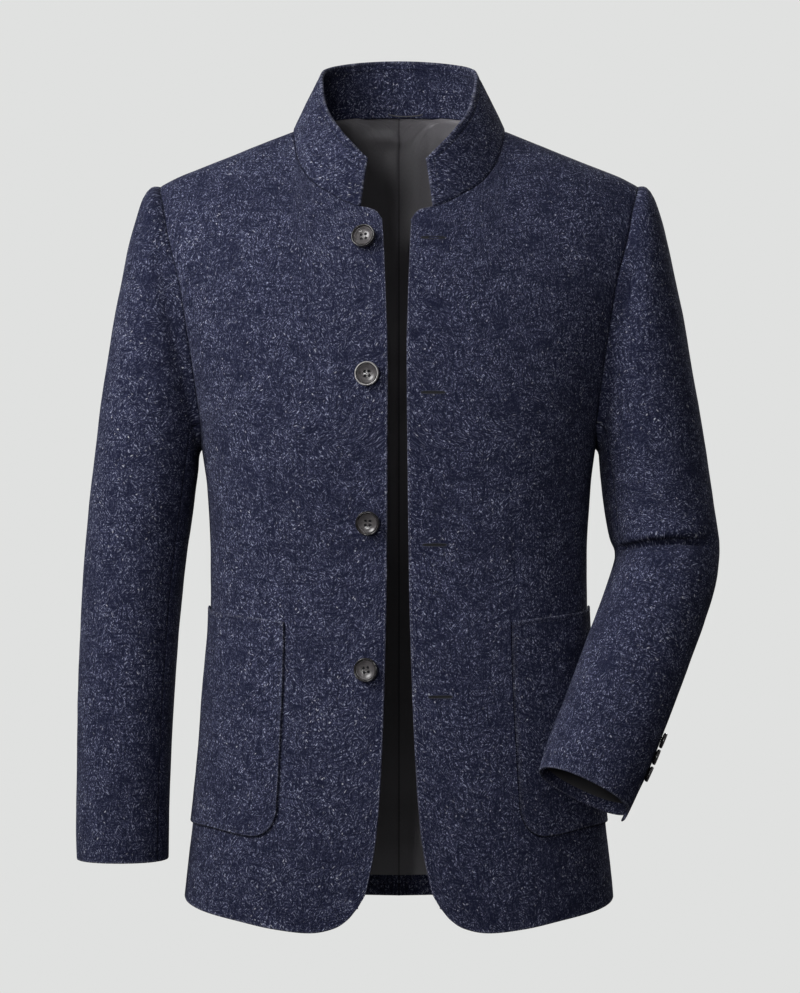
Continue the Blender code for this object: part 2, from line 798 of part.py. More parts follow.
def add_sleeve(collection, normals, word, rings):
    """Add a two-piece sleeve, with the facing and lining that show in its cuff."""
    back_seam = BACK_SEAM_STATIONS[word]
    top = stations(rings, back_seam, FRONT_SEAM_STATION + SLEEVE_STATIONS)
    under = stations(rings, FRONT_SEAM_STATION, back_seam)
    for name, grid, drop in (("top", top, VENT_DROPS[word]), ("under", under, 0.0)):
        skins = [grid, moved_in(grid, normals, CLOTH)]
        for skin in skins:
            along = (skin[-1][0] - skin[-2][0]).normalized()
            skin[-1][0] = skin[-1][0] + along * drop
        add_cloth(collection, "sleeve_%s_%s" % (name, word), skins, ARMHOLE_GAP)
    inside = moved_in(rings, normals, CLOTH + LAID_GAP)
    deeper = moved_in(rings, normals, CLOTH + LAID_GAP + LINING_CLOTH)
    band = -1 - CUFF_FACING_RINGS
    facing = [drawn_back(grid[band:], SEAM_GAP, "bt") for grid in (inside, deeper)]
    add_wall(collection, "cuff_facing_" + word, *facing, WOOL, tube=True)
    start = band - CUFF_LINING_RINGS
    lining = [drawn_back(grid[start:band + 1], SEAM_GAP, "bt") for grid in (inside, deeper)]
    add_wall(collection, "sleeve_lining_" + word, *lining, SATIN, tube=True)


def add_front_buttons(collection, mesh):
    """Add the four buttons of the wearer's right front."""
    for k, place in enumerate(BUTTON_PLACES, 1):
        angle = angle_at(place.x, place.z)
        point = placed(body_point(angle, place.z), -1)
        far_x, high_z = place.x + BUTTON_TILT_SPAN, place.z + BUTTON_TILT_SPAN
        beside = placed(body_point(angle_at(far_x, place.z), place.z), -1)
        above = placed(body_point(angle_at(place.x, high_z), high_z), -1)
        normal = (above - point).cross(beside - point).normalized()
        if normal.y > 0:
            normal.negate()
        add_button(collection, "button_%d" % k, mesh, point + normal * BUTTON_GAP, normal)


def add_cuff_buttons(collection, mesh, word, rings, normals):
    """Add a cuff's buttons, up the edge of its vent."""
    seam = BACK_SEAM_STATIONS[word]
    edge = [ring[seam] for ring in rings][::-1]
    beside = [ring[(seam + 1) % SLEEVE_STATIONS] for ring in rings][::-1]
    for k in range(CUFF_BUTTON_COUNT):
        height = CUFF_BUTTON_FIRST + CUFF_BUTTON_PITCH * k
        i = 0
        while height > (edge[i + 1] - edge[i]).length:
            height -= (edge[i + 1] - edge[i]).length
            i += 1
        share = height / (edge[i + 1] - edge[i]).length
        start = edge[i].lerp(edge[i + 1], share)
        toward = beside[i].lerp(beside[i + 1], share) - start
        point = start + toward.normalized() * CUFF_BUTTON_INSET
        normal = (edge[i + 1] - edge[i]).cross(toward).normalized()
        if normal.dot(normals[key_of(edge[i])]) < 0:
            normal.negate()
        name = "cuff_button_%s_%d" % (word, k + 1)
        add_button(collection, name, mesh, point + normal * CUFF_BUTTON_GAP, normal)


def build():
    """Build the whole jacket."""
    for old in list(bpy.data.objects):
        bpy.data.objects.remove(old)
    jacket = bpy.data.collections.new("standing_collar_jacket")
    cutters = bpy.data.collections.new("cutters")
    for collection in (jacket, cutters):
        bpy.context.scene.collection.children.link(collection)

    fronts = {side: front_grid(side) for side in (-1, 1)}
    backs = {side: back_grid(side) for side in (-1, 1)}
    sleeves = {-1: sleeve_rings(RIGHT_SLEEVE, -1), 1: sleeve_rings(LEFT_SLEEVE, 1)}
    collar = collar_grid()
    normals = {}
    for side in (-1, 1):
        add_normals(normals, fronts[side], side)
        add_normals(normals, backs[side], -side)
        add_normals(normals, [ring + ring[:1] for ring in sleeves[side]], side)
    add_normals(normals, collar, -1)

    add_body(jacket, normals, fronts, backs)
    add_cloth(jacket, "collar", [collar, moved_in(collar, normals, COLLAR_CLOTH)], COLLAR_GAP)
    add_pockets(jacket)
    front_mesh = button_mesh("front_button", BUTTON_RADIUS, BUTTON_STEPS, cutters, True)
    cuff_mesh = button_mesh("cuff_button", CUFF_BUTTON_RADIUS, CUFF_BUTTON_STEPS, cutters, False)
    add_front_buttons(jacket, front_mesh)
    for word, side in (("right", -1), ("left", 1)):
        add_sleeve(jacket, normals, word, sleeves[side])
        add_cuff_buttons(jacket, cuff_mesh, word, sleeves[side], normals)


build()
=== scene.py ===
"""Dress a standing-collar wool jacket, filled out as if on a wearer, for its picture.

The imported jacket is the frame: each panel of cloth here is a thin shell on the form of
its own solid, cut from the same tables, with seams that sink in, rounded folded edges,
creases, stitches, buttonholes and a lining. X points to the wearer's left, Y to the back
and Z up. Tables and sizes are in millimetres, and finished meshes are in metres.
"""

from __future__ import annotations

import logging
from dataclasses import dataclass, field
from enum import Enum
from math import ceil, cos, pi, radians, sin
from typing import Sequence

import bmesh
import bpy
import numpy as np
from mathutils import Matrix, Vector, kdtree, noise
from numpy.linalg import norm

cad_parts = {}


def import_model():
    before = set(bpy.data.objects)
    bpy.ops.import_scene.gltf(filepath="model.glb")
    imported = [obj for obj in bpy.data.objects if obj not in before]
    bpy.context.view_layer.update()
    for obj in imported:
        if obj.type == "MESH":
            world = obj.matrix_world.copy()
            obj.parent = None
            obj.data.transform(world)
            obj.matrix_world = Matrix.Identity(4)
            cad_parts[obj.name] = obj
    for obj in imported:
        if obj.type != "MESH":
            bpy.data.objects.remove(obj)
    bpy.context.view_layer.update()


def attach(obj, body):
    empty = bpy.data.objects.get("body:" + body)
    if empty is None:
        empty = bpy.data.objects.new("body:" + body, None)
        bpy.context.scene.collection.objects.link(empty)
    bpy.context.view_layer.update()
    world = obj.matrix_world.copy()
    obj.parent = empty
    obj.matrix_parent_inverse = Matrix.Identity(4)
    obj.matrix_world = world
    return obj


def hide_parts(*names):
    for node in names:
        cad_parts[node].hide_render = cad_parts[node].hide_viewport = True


Array = np.ndarray
Colour = tuple[float, float, float]
Line = tuple[Array, Array]
Loop = list[bmesh.types.BMVert]
Material = bpy.types.Material
Mesh = bpy.types.Mesh
Object = bpy.types.Object
Pair = tuple[float, float]
Point = tuple[float, float, float]
Socket = bpy.types.NodeSocket

LOG = logging.getLogger("jacket")
MM = 0.001
TINY = 1e-6
FAR = 1000.0
BODY = "root"


class Side(Enum):
    """A side of the wearer, and the sign of its X."""

    RIGHT = -1
    LEFT = 1

    @property
    def word(self) -> str:
        """The side's name as the nodes spell it."""
        return self.name.lower()


class Border(Enum):
    """A border of a panel's grid of points."""

    START = "first column"
    END = "last column"
    LOW = "first row"
    HIGH = "last row"


class Edge(Enum):
    """How a border of a panel is made."""

    SEAM = "sewn to its neighbour, so it sinks into the seam"
    FOLD = "folded and pressed, so it is round"
    COVERED = "lies under another piece"


START, END, LOW, HIGH = Border
SEAM, FOLD, COVERED = Edge


class Slot(Enum):
    """The record's material slots."""

    WOOL = "wool_cloth"
    SATIN = "satin_lining"
    HORN = "horn_button"


# Curves and tables


def steady(keys: Sequence[float], values: Sequence[float], at: Array) -> Array:
    """Read a smooth curve that never overshoots its rows.

    Args:
        keys: The rows' keys, all rising or all falling.
        values: The rows' values.
        at: The keys to read the curve at.

    Returns:
        The curve's value at each key.
    """
    keys, values = np.asarray(keys, float), np.asarray(values, float)
    if keys[0] > keys[-1]:
        keys, values = keys[::-1], values[::-1]
    at = np.clip(np.asarray(at, float), keys[0], keys[-1])
    steps = np.diff(keys)
    slopes = np.diff(values) / steps
    product = slopes[:-1] * slopes[1:]
    total = slopes[:-1] + slopes[1:]
    inner = np.where(product > 0, 2 * product / np.where(total == 0, 1, total), 0)
    tangents = np.concatenate([slopes[:1], inner, slopes[-1:]])
    i = np.clip(np.searchsorted(keys, at, side="right") - 1, 0, len(keys) - 2)
    t = (at - keys[i]) / steps[i]
    return (values[i] * (1 + 2 * t) * (1 - t) ** 2 + values[i + 1] * t * t * (3 - 2 * t)
            + steps[i] * t * (1 - t) * (tangents[i] * (1 - t) - tangents[i + 1] * t))


@dataclass(frozen=True)
class Table:
    """A table of sizes, read as smooth curves over its first column."""

    columns: tuple[str, ...]
    rows: tuple[tuple[float, ...], ...]

    def column(self, name: str) -> Array:
        """All the values of a column."""
        place = self.columns.index(name)
        return np.array([row[place] for row in self.rows], float)

    def at(self, name: str, key: Array) -> Array:
        """A column's value at keys of the first column."""
        return steady(self.column(self.columns[0]), self.column(name), key)

    def points(self) -> Array:
        """The rows as points."""
        return np.array(self.rows, float)


def curve_through(points: Array, counts: Sequence[int]) -> Array:
    """Fill in a smooth curve between points, or between rows of points.

    Args:
        points: The points, or rows of points, that the curve passes through.
        counts: How many steps each stretch between two of them gets.

    Returns:
        All the points along the curve, the given ones among them.
    """
    points = np.asarray(points, float)
    ends = np.concatenate([[2 * points[0] - points[1]], points, [2 * points[-1] - points[-2]]])
    result = []
    for k, count in enumerate(counts):
        before, start, stop, after = ends[k:k + 4]
        for step in range(count):
            t = step / count
            result.append(0.5 * (2 * start + (stop - before) * t
                                 + (2 * before - 5 * start + 4 * stop - after) * t * t
                                 + (3 * start - 3 * stop + after - before) * t ** 3))
    result.append(points[-1])
    return np.array(result)


def even_path(points: Array, count: int, samples: int = 24) -> Array:
    """Space points evenly along a smooth curve.

    Args:
        points: The points that the curve passes through.
        count: How many steps to divide it into.
        samples: How finely each stretch is measured.

    Returns:
        The count + 1 points.
    """
    fine = curve_through(points, [samples] * (len(points) - 1))
    along = np.concatenate([[0], np.cumsum(norm(np.diff(fine, axis=0), axis=1))])
    wanted = np.linspace(0, along[-1], count + 1)
    return np.stack([np.interp(wanted, along, fine[:, k]) for k in range(fine.shape[1])], axis=1)


def unit(vectors: Array) -> Array:
    """Return vectors scaled to a length of 1."""
    lengths = norm(vectors, axis=-1, keepdims=True)
    return vectors / np.where(lengths == 0, 1, lengths)


def smooth(share: Array) -> Array:
    """Ease a share from 0 to 1."""
    share = np.clip(share, 0, 1)
    return share * share * (3 - 2 * share)


def circle(count: int) -> Array:
    """The cosines and sines of even steps round a full turn."""
    turn = 2 * np.pi * np.arange(count) / count
    return np.stack([np.cos(turn), np.sin(turn)], axis=1)


def from_border(values: Array, border: Border) -> Array:
    """A grid of values, seen so that a border's own line comes first, without a copy."""
    if border in (START, END):
        values = values.swapaxes(0, 1)
    return values[::-1] if border in (HIGH, END) else values


def borders(start: Edge, end: Edge, low: Edge, high: Edge) -> dict[Border, Edge]:
    """How a panel's four borders are made."""
    return {START: start, END: end, LOW: low, HIGH: high}


# The jacket's form

OUTLINE = ("x", "z")
NECK_POINT_X = 101.0
SHOULDER_TIP_X = 227.0
ARMPIT_Z = -303.0
HEM_CORNER_Z = -724.5
EDGE_TOP_Z = -93.0

LEVELS = Table(("z", "half_width"), (
    (30, 262), (-53, 258), (-85, 254), (-136, 240), (-197, 213), (-251, 197),
    (-285, 189.5), (-304, 186.3), (-340, 181.5), (-402, 178.3), (-452, 178.4),
    (-524, 183.2), (-602, 189.6), (-658, 195.6), (-712, 202), (-760, 206)))
DEPTHS = Table(("drop", "front", "back"), (
    (0, 0, 0), (5, 22, 24), (15, 40, 44), (30, 57, 62), (60, 79, 84), (100, 98, 103),
    (150, 113, 116), (210, 123, 122), (280, 126, 120), (360, 119, 108), (430, 112, 101),
    (510, 113, 108), (600, 118, 120), (680, 121, 125), (790, 123, 122)))
TOPS = Table(("x", "z", "back_rise"), (
    (0, 22, 30), (30, 19, 29.5), (60, 12, 25.5), (80, 6, 19.5), (92, 2, 11),
    (NECK_POINT_X, -1, 0), (115, -6.5, 0), (191, -37, 0), (210, -44.5, 0),
    (SHOULDER_TIP_X, -53, 0), (260, -72, 0)))
ARMHOLE = Table(("z", "front_x", "back_x"), (
    (-53, SHOULDER_TIP_X, SHOULDER_TIP_X), (-85, 219, 220), (-136, 207, 207.5),
    (-197, 196.5, 195), (-251, 189.2, 187.5), (-285, 185.9, 184.2), (-296, 186.6, 186.2)))
FRONT_EDGE = Table(("z", "half_gap"), (
    (EDGE_TOP_Z, 13.4), (-113, 12.3), (-164, 10.2), (-220, 9), (-305, 9.5), (-433, 10.7),
    (-532, 13.3), (-611, 16.8), (-650, 19.8), (-675, 22.9), (-693, 26.5), (-711, 30.6),
    (HEM_CORNER_Z, 38)))
FRONT_HEM = Table(OUTLINE, (
    (38, HEM_CORNER_Z), (47.6, -735.5), (61, -743.5), (83, -747.5), (117, -744.5),
    (153, -738), (186, -732)))
BACK_HEM = Table(OUTLINE, ((0, -741), (100, -738), (170, -731)))
FRONT_CORNER = Table(OUTLINE, ((13.4, EDGE_TOP_Z), (20, -84.5), (34.8, -80)))
FRONT_NECK = Table(OUTLINE, (
    (34.8, -80), (46, -76), (60, -68), (77.5, -56.5), (88.5, -43), (95, -29),
    (98.5, -14), (NECK_POINT_X, -1)))
BACK_NECK = Table(OUTLINE, (
    (0, 19.2), (30, 18.4), (60, 15.5), (80, 11), (92, 6), (98, 2), (NECK_POINT_X, -1)))
COLLAR_FRONT_RIM = Table(("x", "y", "z"), (
    (28, -84, -35), (39, -80, -24), (52.5, -69, -9), (66, -47, 11.5), (72.5, -26, 32),
    (75, -2, 51)))
COLLAR_BACK_RIM = Table(("x", "y", "z"), (
    (75, -2, 51), (73, 14, 58), (66.5, 31, 63), (56, 43, 66.5), (40, 52, 69.5),
    (20, 58.5, 71.3), (0, 60.5, 71.8)))
POCKET_TOP = Table(OUTLINE, ((105, -464), (128, -461), (152, -458.5), (176, -455)))
POCKET_INNER = Table(OUTLINE, (
    (105, -464), (106, -523), (108.5, -573), (111.2, -625), (112.5, -640), (117, -651)))
POCKET_BOTTOM = Table(OUTLINE, (
    (117, -651), (124, -657.5), (134, -660.5), (150, -659), (172, -655), (190, -654)))

# One row for each ring of a sleeve below the armhole: its outer and inner points as the
# front shows them, its middle's depth, how far it bulges to the front and back, how far
# its front leans up, and how far its seams turn round the arm
RING = ("outer_x", "outer_z", "inner_x", "inner_z", "middle_y", "front", "back", "lean", "turn")
RIGHT_SLEEVE = Table(RING, (
    (235, -54.5, 188, -304.5, 0, 63, 66, 0, 0),
    (242.5, -64.5, 189, -306.5, 0, 66, 69, 0, 0),
    (249, -85, 190, -309.5, 0, 69, 72, 0, 0),
    (256.5, -113, 190.5, -314, 0, 71, 74, 0, 0),
    (263.3, -147, 190.8, -320, 0, 72, 74, 0, 0),
    (270.5, -183, 191.6, -328, 0, 72, 73, 0, 0),
    (277.3, -225, 193.2, -341, 0, 71, 71, 0, 0),
    (283.8, -270, 195, -357, -1, 69, 69, 0, 0),
    (289.2, -318, 197.7, -377, -2, 66, 66, 0, 0),
    (294.6, -368, 201.2, -401, -3, 63, 63, 0, 0),
    (299, -420, 205.2, -436, -5, 60, 61, 0, 0),
    (301.7, -478, 209, -484, -8, 57, 58, 0, 0),
    (303.3, -540, 213, -541, -12, 54, 55, 0, 0),
    (304.2, -600, 215.7, -600, -16, 51, 52, 0, 0),
    (304.6, -636, 216.6, -635, -18, 49, 50, 0, 0),
    (304.5, -664, 217, -663, -20, 48.5, 49, 0, 0),
    (303.6, -689, 217.2, -689, -21, 48, 48, 0, 0)))
LEFT_SLEEVE = Table(RING, (
    (235, -54.5, 188, -304.5, 0, 63, 66, 0, 0),
    (242.3, -64.7, 189, -306.5, 0, 66, 69, 0, 0),
    (249, -84.5, 189.9, -309.5, 0, 69, 72, 0, 0),
    (255.5, -111, 190.2, -313, 0, 71, 74, 0, 0),
    (263, -146, 190.6, -318.5, 0, 72, 74, 0, 0),
    (270.5, -182, 191.2, -326, -1, 72, 73, 0, 0),
    (277.9, -225, 192.6, -338.5, -2, 71, 71, 0, 0),
    (285.3, -268, 194.2, -353, -4, 69, 69, 0, 0),
    (292, -312, 196.4, -371, -7, 67, 66, 3, 0),
    (297.5, -352, 199.4, -387, -11, 65, 62, 6, 3),
    (302, -384, 203.2, -396, -14, 65, 59, 9, 6),
    (302.9, -395, 204, -400.5, -16, 56, 58, 11, 8),
    (302.2, -410, 203.4, -407.5, -20, 58, 57, 15, 10),
    (297.5, -434, 199.5, -419.5, -30, 58, 55, 20, 14),
    (286.6, -464, 190.2, -443.5, -49, 54, 50, 23, 18),
    (271.2, -501, 177, -474.5, -73, 50, 46, 25, 22),
    (257.6, -532, 165, -503, -92, 46, 42, 25, 25),
    (244.5, -562, 153, -531.5, -108, 42, 38, 25, 28),
    (229.5, -595, 140.5, -560.5, -122, 39, 36, 24, 30),
    (218.5, -617, 133.5, -579.5, -131, 37, 34, 22, 30),
    (209, -636, 128.4, -596, -137, 36, 33, 21, 30)))
RIGHT_AXIS = ((-200, 0, -40), (-250, -3, -330), (-260, -20, -690))
LEFT_AXIS = ((200, 0, -40), (252, -12, -392), (168, -137, -615))
BUTTON_PLACES = Table(OUTLINE, ((30.0, -110.5), (27.3, -236.0), (27.3, -372.0), (29.1, -507.0)))


@dataclass(frozen=True)
class Form:
    """The filled-out jacket's form, by the angle round it and the height."""

    section_power: float = 2.6
    neck_softness: float = 0.45
    neck_soft_drop: float = 45.0
    neck_soft_end_x: float = 170.0
    back_rise_drop: float = 90.0
    sway: float = 2.0
    sway_depth: float = 90.0
    sway_top_z: float = -100.0
    sway_end_z: float = -700.0

    def angle(self, x: Array, z: Array) -> Array:
        """The angle from the middle to places on the body, in degrees up to 90."""
        share = np.minimum(np.asarray(x, float) / LEVELS.at("half_width", z), 1)
        return np.degrees(np.arcsin(share ** (self.section_power / 2)))

    def chart(self, outline: Array) -> Array:
        """An outline's places, turned from x and z to angles and heights."""
        return np.stack([self.angle(outline[:, 0], outline[:, 1]), outline[:, 1]], axis=1)

    def point(self, places: Array) -> Array:
        """Points of the body's outer face.

        Args:
            places: Angles round from the front, and heights, along the last axis.

        Returns:
            The points, on the wearer's left side and without the sway.
        """
        angle, z = places[..., 0], places[..., 1]
        turn = np.radians(angle)
        x = LEVELS.at("half_width", z) * np.sin(turn) ** (2 / self.section_power)
        front = angle <= 90
        drop = np.maximum(TOPS.at("z", x) - z, 0)
        rise = TOPS.at("back_rise", x) * np.exp(-drop / self.back_rise_drop)
        drop = np.where(front, drop, drop + rise)
        depth = np.where(front, DEPTHS.at("front", drop), DEPTHS.at("back", drop))
        span = self.neck_soft_end_x - NECK_POINT_X
        near_neck = np.clip((self.neck_soft_end_x - x) / span, 0, 1)
        soft = 1 - self.neck_softness * near_neck * np.exp(-drop / self.neck_soft_drop)
        depth = np.where(front, depth * soft, depth)
        reach = depth * np.abs(np.cos(turn)) ** (2 / self.section_power)
        return np.stack([x, np.where(front, -reach, reach), z], axis=-1)

    def placed(self, points: Array, side: Side) -> Array:
        """Points put on their side of the jacket, with the fronts' slight sway."""
        forward = np.clip(-points[..., 1] / self.sway_depth, 0, 1)
        above_end, whole = points[..., 2] - self.sway_end_z, self.sway_top_z - self.sway_end_z
        high = np.clip(above_end / whole, 0, 1)
        x = side.value * points[..., 0] - self.sway * forward * high
        return np.stack([x, points[..., 1], points[..., 2]], axis=-1)


FORM = Form()


def filled(left: Array, right: Array, low: Array, high: Array, shares: Array) -> Array:
    """Fill the four lines round a panel with rows of places.

    Args:
        left: The first column, from the low end up.
        right: The last column.
        low: The first row.
        high: The last row.
        shares: How far up each row is, from 0 to 1.

    Returns:
        The rows of places.
    """
    u = np.linspace(0, 1, len(low))[None, :, None]
    v = np.asarray(shares)[:, None, None]
    sides = left[:, None] * (1 - u) + right[:, None] * u
    ends = low[None] * (1 - v) + high[None] * v
    corners = ((low[0] * (1 - u) + low[-1] * u) * (1 - v)
               + (high[0] * (1 - u) + high[-1] * u) * v)
    return sides + ends - corners


@dataclass(frozen=True)
class Cutting:
    """Cuts the jacket's panels as grids of points on their outer faces."""

    side_hem_z: float = -724.0
    hem_band: float = 19.0
    body_rows: int = 11
    corner_columns: int = 2
    front_neck_columns: int = 7
    back_neck_columns: int = 6
    shoulder_columns: int = 5
    stations: int = 20
    collar_rows: int = 3
    collar_bulge: float = 0.8
    sleeve_power: float = 2.2
    pocket_columns: int = 12
    pocket_rows: int = 8
    pocket_outer_angle: float = 89.4
    pocket_top_outer_z: float = -452.0
    pocket_bottom_outer_z: float = -654.0
    band_steps: int = 5
    row_steps: int = 9
    column_steps: int = 6
    station_steps: int = 6
    ring_pitch: float = 4.0
    fold_pitch: float = 1.2
    collar_steps: int = 14

    def side_heights(self) -> Array:
        """The rows' heights on the side seam and up the armhole."""
        band_top = self.side_hem_z + self.hem_band
        band = np.linspace(self.side_hem_z, band_top, self.band_steps + 1)[:-1]
        seam = np.linspace(band_top, ARMPIT_Z, self.body_rows * self.row_steps + 1)[:-1]
        half = self.stations // 2
        count = half * self.station_steps
        hole = self.armhole_height(np.linspace(half, 0, count + 1))
        return np.concatenate([band, seam, hole])

    def armhole_height(self, station: Array) -> Array:
        """The height of stations of the armhole, counted from the shoulder."""
        tip_z = ARMHOLE.rows[0][0]
        turn = 2 * np.pi * np.asarray(station) / self.stations
        return ARMPIT_Z + (tip_z - ARMPIT_Z) * (1 + np.cos(turn)) / 2

    def armhole_angle(self, z: Array, column: str) -> Array:
        """The angle of the armhole's front or back half at heights."""
        heights = np.append(ARMHOLE.column("z"), ARMPIT_Z)
        angles = np.append(FORM.angle(ARMHOLE.column(column), ARMHOLE.column("z")), 90)
        return steady(heights, angles, z)

    def edge_heights(self, heights: Array, low_z: float, high_z: float) -> Array:
        """The rows' heights on a middle edge that runs from low to high."""
        above = ARMPIT_Z + (heights - ARMPIT_Z) / (heights[-1] - ARMPIT_Z) * (high_z - ARMPIT_Z)
        below = low_z + (heights - heights[0]) / (ARMPIT_Z - heights[0]) * (ARMPIT_Z - low_z)
        return np.where(heights > ARMPIT_Z, above, below)

    def side_line(self, heights: Array, column: str) -> Array:
        """The places up the side seam and the armhole."""
        angles = np.where(heights < ARMPIT_Z, 90, self.armhole_angle(heights, column))
        return np.stack([angles, heights], axis=1)

    def shoulder_line(self) -> Array:
        """The places along the shoulder seam, from the neck to the tip."""
        steps = self.shoulder_columns * self.column_steps
        xs = np.linspace(NECK_POINT_X, SHOULDER_TIP_X, steps + 1)
        return FORM.chart(np.stack([xs, TOPS.at("z", xs)], axis=1))

    def neck_line(self, outline: Table, columns: int) -> Array:
        """The places along a neck seam, up to the neck point."""
        return even_path(FORM.chart(outline.points()), columns * self.column_steps)

    def body_places(self, middle: Array, hem: Table, high: Array, column: str) -> Array:
        """The places of a front or a half back.

        Args:
            middle: The places up its middle edge.
            hem: The outline of its hem.
            high: The places along its neck and shoulder.
            column: The armhole's column.

        Returns:
            The rows of places.
        """
        heights = self.side_heights()
        side = self.side_line(heights, column)
        low_points = np.concatenate([FORM.chart(hem.points()), side[:1]])
        low = even_path(low_points, len(high) - 1)
        shares = (heights - heights[0]) / (heights[-1] - heights[0])
        return filled(middle, side, low, high, shares)

    def front(self, side: Side) -> Array:
        """A front's rows of points."""
        edges = self.edge_heights(self.side_heights(), HEM_CORNER_Z, EDGE_TOP_Z)
        gaps = FRONT_EDGE.at("half_gap", edges)
        middle = FORM.chart(np.stack([gaps, edges], axis=1))
        corner = even_path(FORM.chart(FRONT_CORNER.points()),
                           self.corner_columns * self.column_steps)
        neck = self.neck_line(FRONT_NECK, self.front_neck_columns)
        high = np.concatenate([corner[:-1], neck[:-1], self.shoulder_line()])
        places = self.body_places(middle, FRONT_HEM, high, "front_x")
        return FORM.placed(FORM.point(places), side)

    def back(self, side: Side) -> Array:
        """A half back's rows of points."""
        heights = self.edge_heights(self.side_heights(), BACK_HEM.rows[0][1], BACK_NECK.rows[0][1])
        middle = np.stack([np.zeros_like(heights), heights], axis=1)
        high = np.concatenate([self.neck_line(BACK_NECK, self.back_neck_columns)[:-1],
                               self.shoulder_line()])
        places = self.body_places(middle, BACK_HEM, high, "back_x")
        places[..., 0] = 180 - places[..., 0]
        return FORM.placed(FORM.point(places), side)

    def armhole_ring(self, side: Side) -> Array:
        """The points round an armhole, from the shoulder to the front and back."""
        count = self.stations * self.station_steps
        station = np.arange(count) / self.station_steps
        z = self.armhole_height(station)
        ahead = station <= self.stations / 2
        angle = np.where(ahead, self.armhole_angle(z, "front_x"),
                         180 - self.armhole_angle(z, "back_x"))
        return FORM.placed(FORM.point(np.stack([angle, z], axis=1)), side)

    def sleeve_ring(self, row: dict[str, float], side: Side) -> Array:
        """The points round one ring of a sleeve."""
        outer = np.array([row["outer_x"], row["middle_y"], row["outer_z"]])
        inner = np.array([row["inner_x"], row["middle_y"], row["inner_z"]])
        middle, across = (outer + inner) / 2, (outer - inner) / 2
        up = unit(np.array([-across[2], 0, across[0]]))
        lean = radians(row["lean"])
        forward = np.array([0, -cos(lean), 0]) + up * sin(lean)
        count = self.stations * self.station_steps
        turn = 2 * np.pi * np.arange(count) / count + radians(row["turn"])
        power = 2 / self.sleeve_power
        aside = np.copysign(np.abs(np.cos(turn)) ** power, np.cos(turn))
        ahead = np.copysign(np.abs(np.sin(turn)) ** power, np.sin(turn))
        bulge = np.where(ahead > 0, row["front"], row["back"])
        ring = middle + across * aside[:, None] + forward * (ahead * bulge)[:, None]
        return FORM.placed(ring, side)

    def sleeve(self, table: Table, side: Side,
               fold_rings: tuple[int, int]) -> tuple[Array, list[int]]:
        """A sleeve's rings of points, from the armhole to the cuff.

        Args:
            table: The sleeve's rings.
            side: The side that it is on.
            fold_rings: The stretch of rings, from one to another, that has a sharp fold.

        Returns:
            The rings, and the place among them of each ring of the table.
        """
        rows = [dict(zip(table.columns, row)) for row in table.rows]
        rings = np.array([self.armhole_ring(side)] + [self.sleeve_ring(row, side) for row in rows])
        gaps = norm(np.diff(rings, axis=0), axis=2).mean(axis=1)
        pitches = [self.fold_pitch if fold_rings[0] <= k < fold_rings[1] else self.ring_pitch
                   for k in range(len(gaps))]
        counts = [max(2, ceil(gap / pitch)) for gap, pitch in zip(gaps, pitches)]
        return curve_through(rings, counts), list(np.cumsum([0] + counts))

    def collar(self) -> Array:
        """The collar's rows of points, from the neck seam up to its rim."""
        seam, rim = [], []
        for side in Side:
            front = FORM.point(self.neck_line(FRONT_NECK, self.front_neck_columns))
            back = self.neck_line(BACK_NECK, self.back_neck_columns)
            back[:, 0] = 180 - back[:, 0]
            low = FORM.placed(np.concatenate([front, FORM.point(back)[::-1][1:]]), side)
            high = np.concatenate([
                even_path(COLLAR_FRONT_RIM.points(), self.front_neck_columns * self.column_steps),
                even_path(COLLAR_BACK_RIM.points(),
                          self.back_neck_columns * self.column_steps)[1:]])
            high = FORM.placed(high, side)
            if side is Side.LEFT:
                low, high = low[-2::-1], high[-2::-1]
            seam.append(low)
            rim.append(high)
        low, high = np.concatenate(seam), np.concatenate(rim)
        shares = np.linspace(0, 1, self.collar_rows * self.collar_steps + 1)[:, None, None]
        rows = low[None] * (1 - shares) + high[None] * shares
        outward = unit(rows * np.array([1, 1, 0]))
        return rows + outward * self.collar_bulge * np.sin(np.pi * shares)

    def pocket(self, side: Side) -> Array:
        """The rows of points on the body under a pocket."""
        columns, rows = self.pocket_columns * self.column_steps, self.pocket_rows * self.row_steps
        top_outer = np.array([[self.pocket_outer_angle, self.pocket_top_outer_z]])
        low_outer = np.array([[self.pocket_outer_angle, self.pocket_bottom_outer_z]])
        high = even_path(np.concatenate([FORM.chart(POCKET_TOP.points()), top_outer]), columns)
        low = even_path(np.concatenate([FORM.chart(POCKET_BOTTOM.points()), low_outer]), columns)
        inner = even_path(FORM.chart(POCKET_INNER.points()), rows)[::-1]
        shares = np.linspace(0, 1, rows + 1)
        outer = low_outer * (1 - shares[:, None]) + top_outer * shares[:, None]
        return FORM.placed(FORM.point(filled(inner, outer, low, high, shares)), side)


CUTTING = Cutting()


# Relief


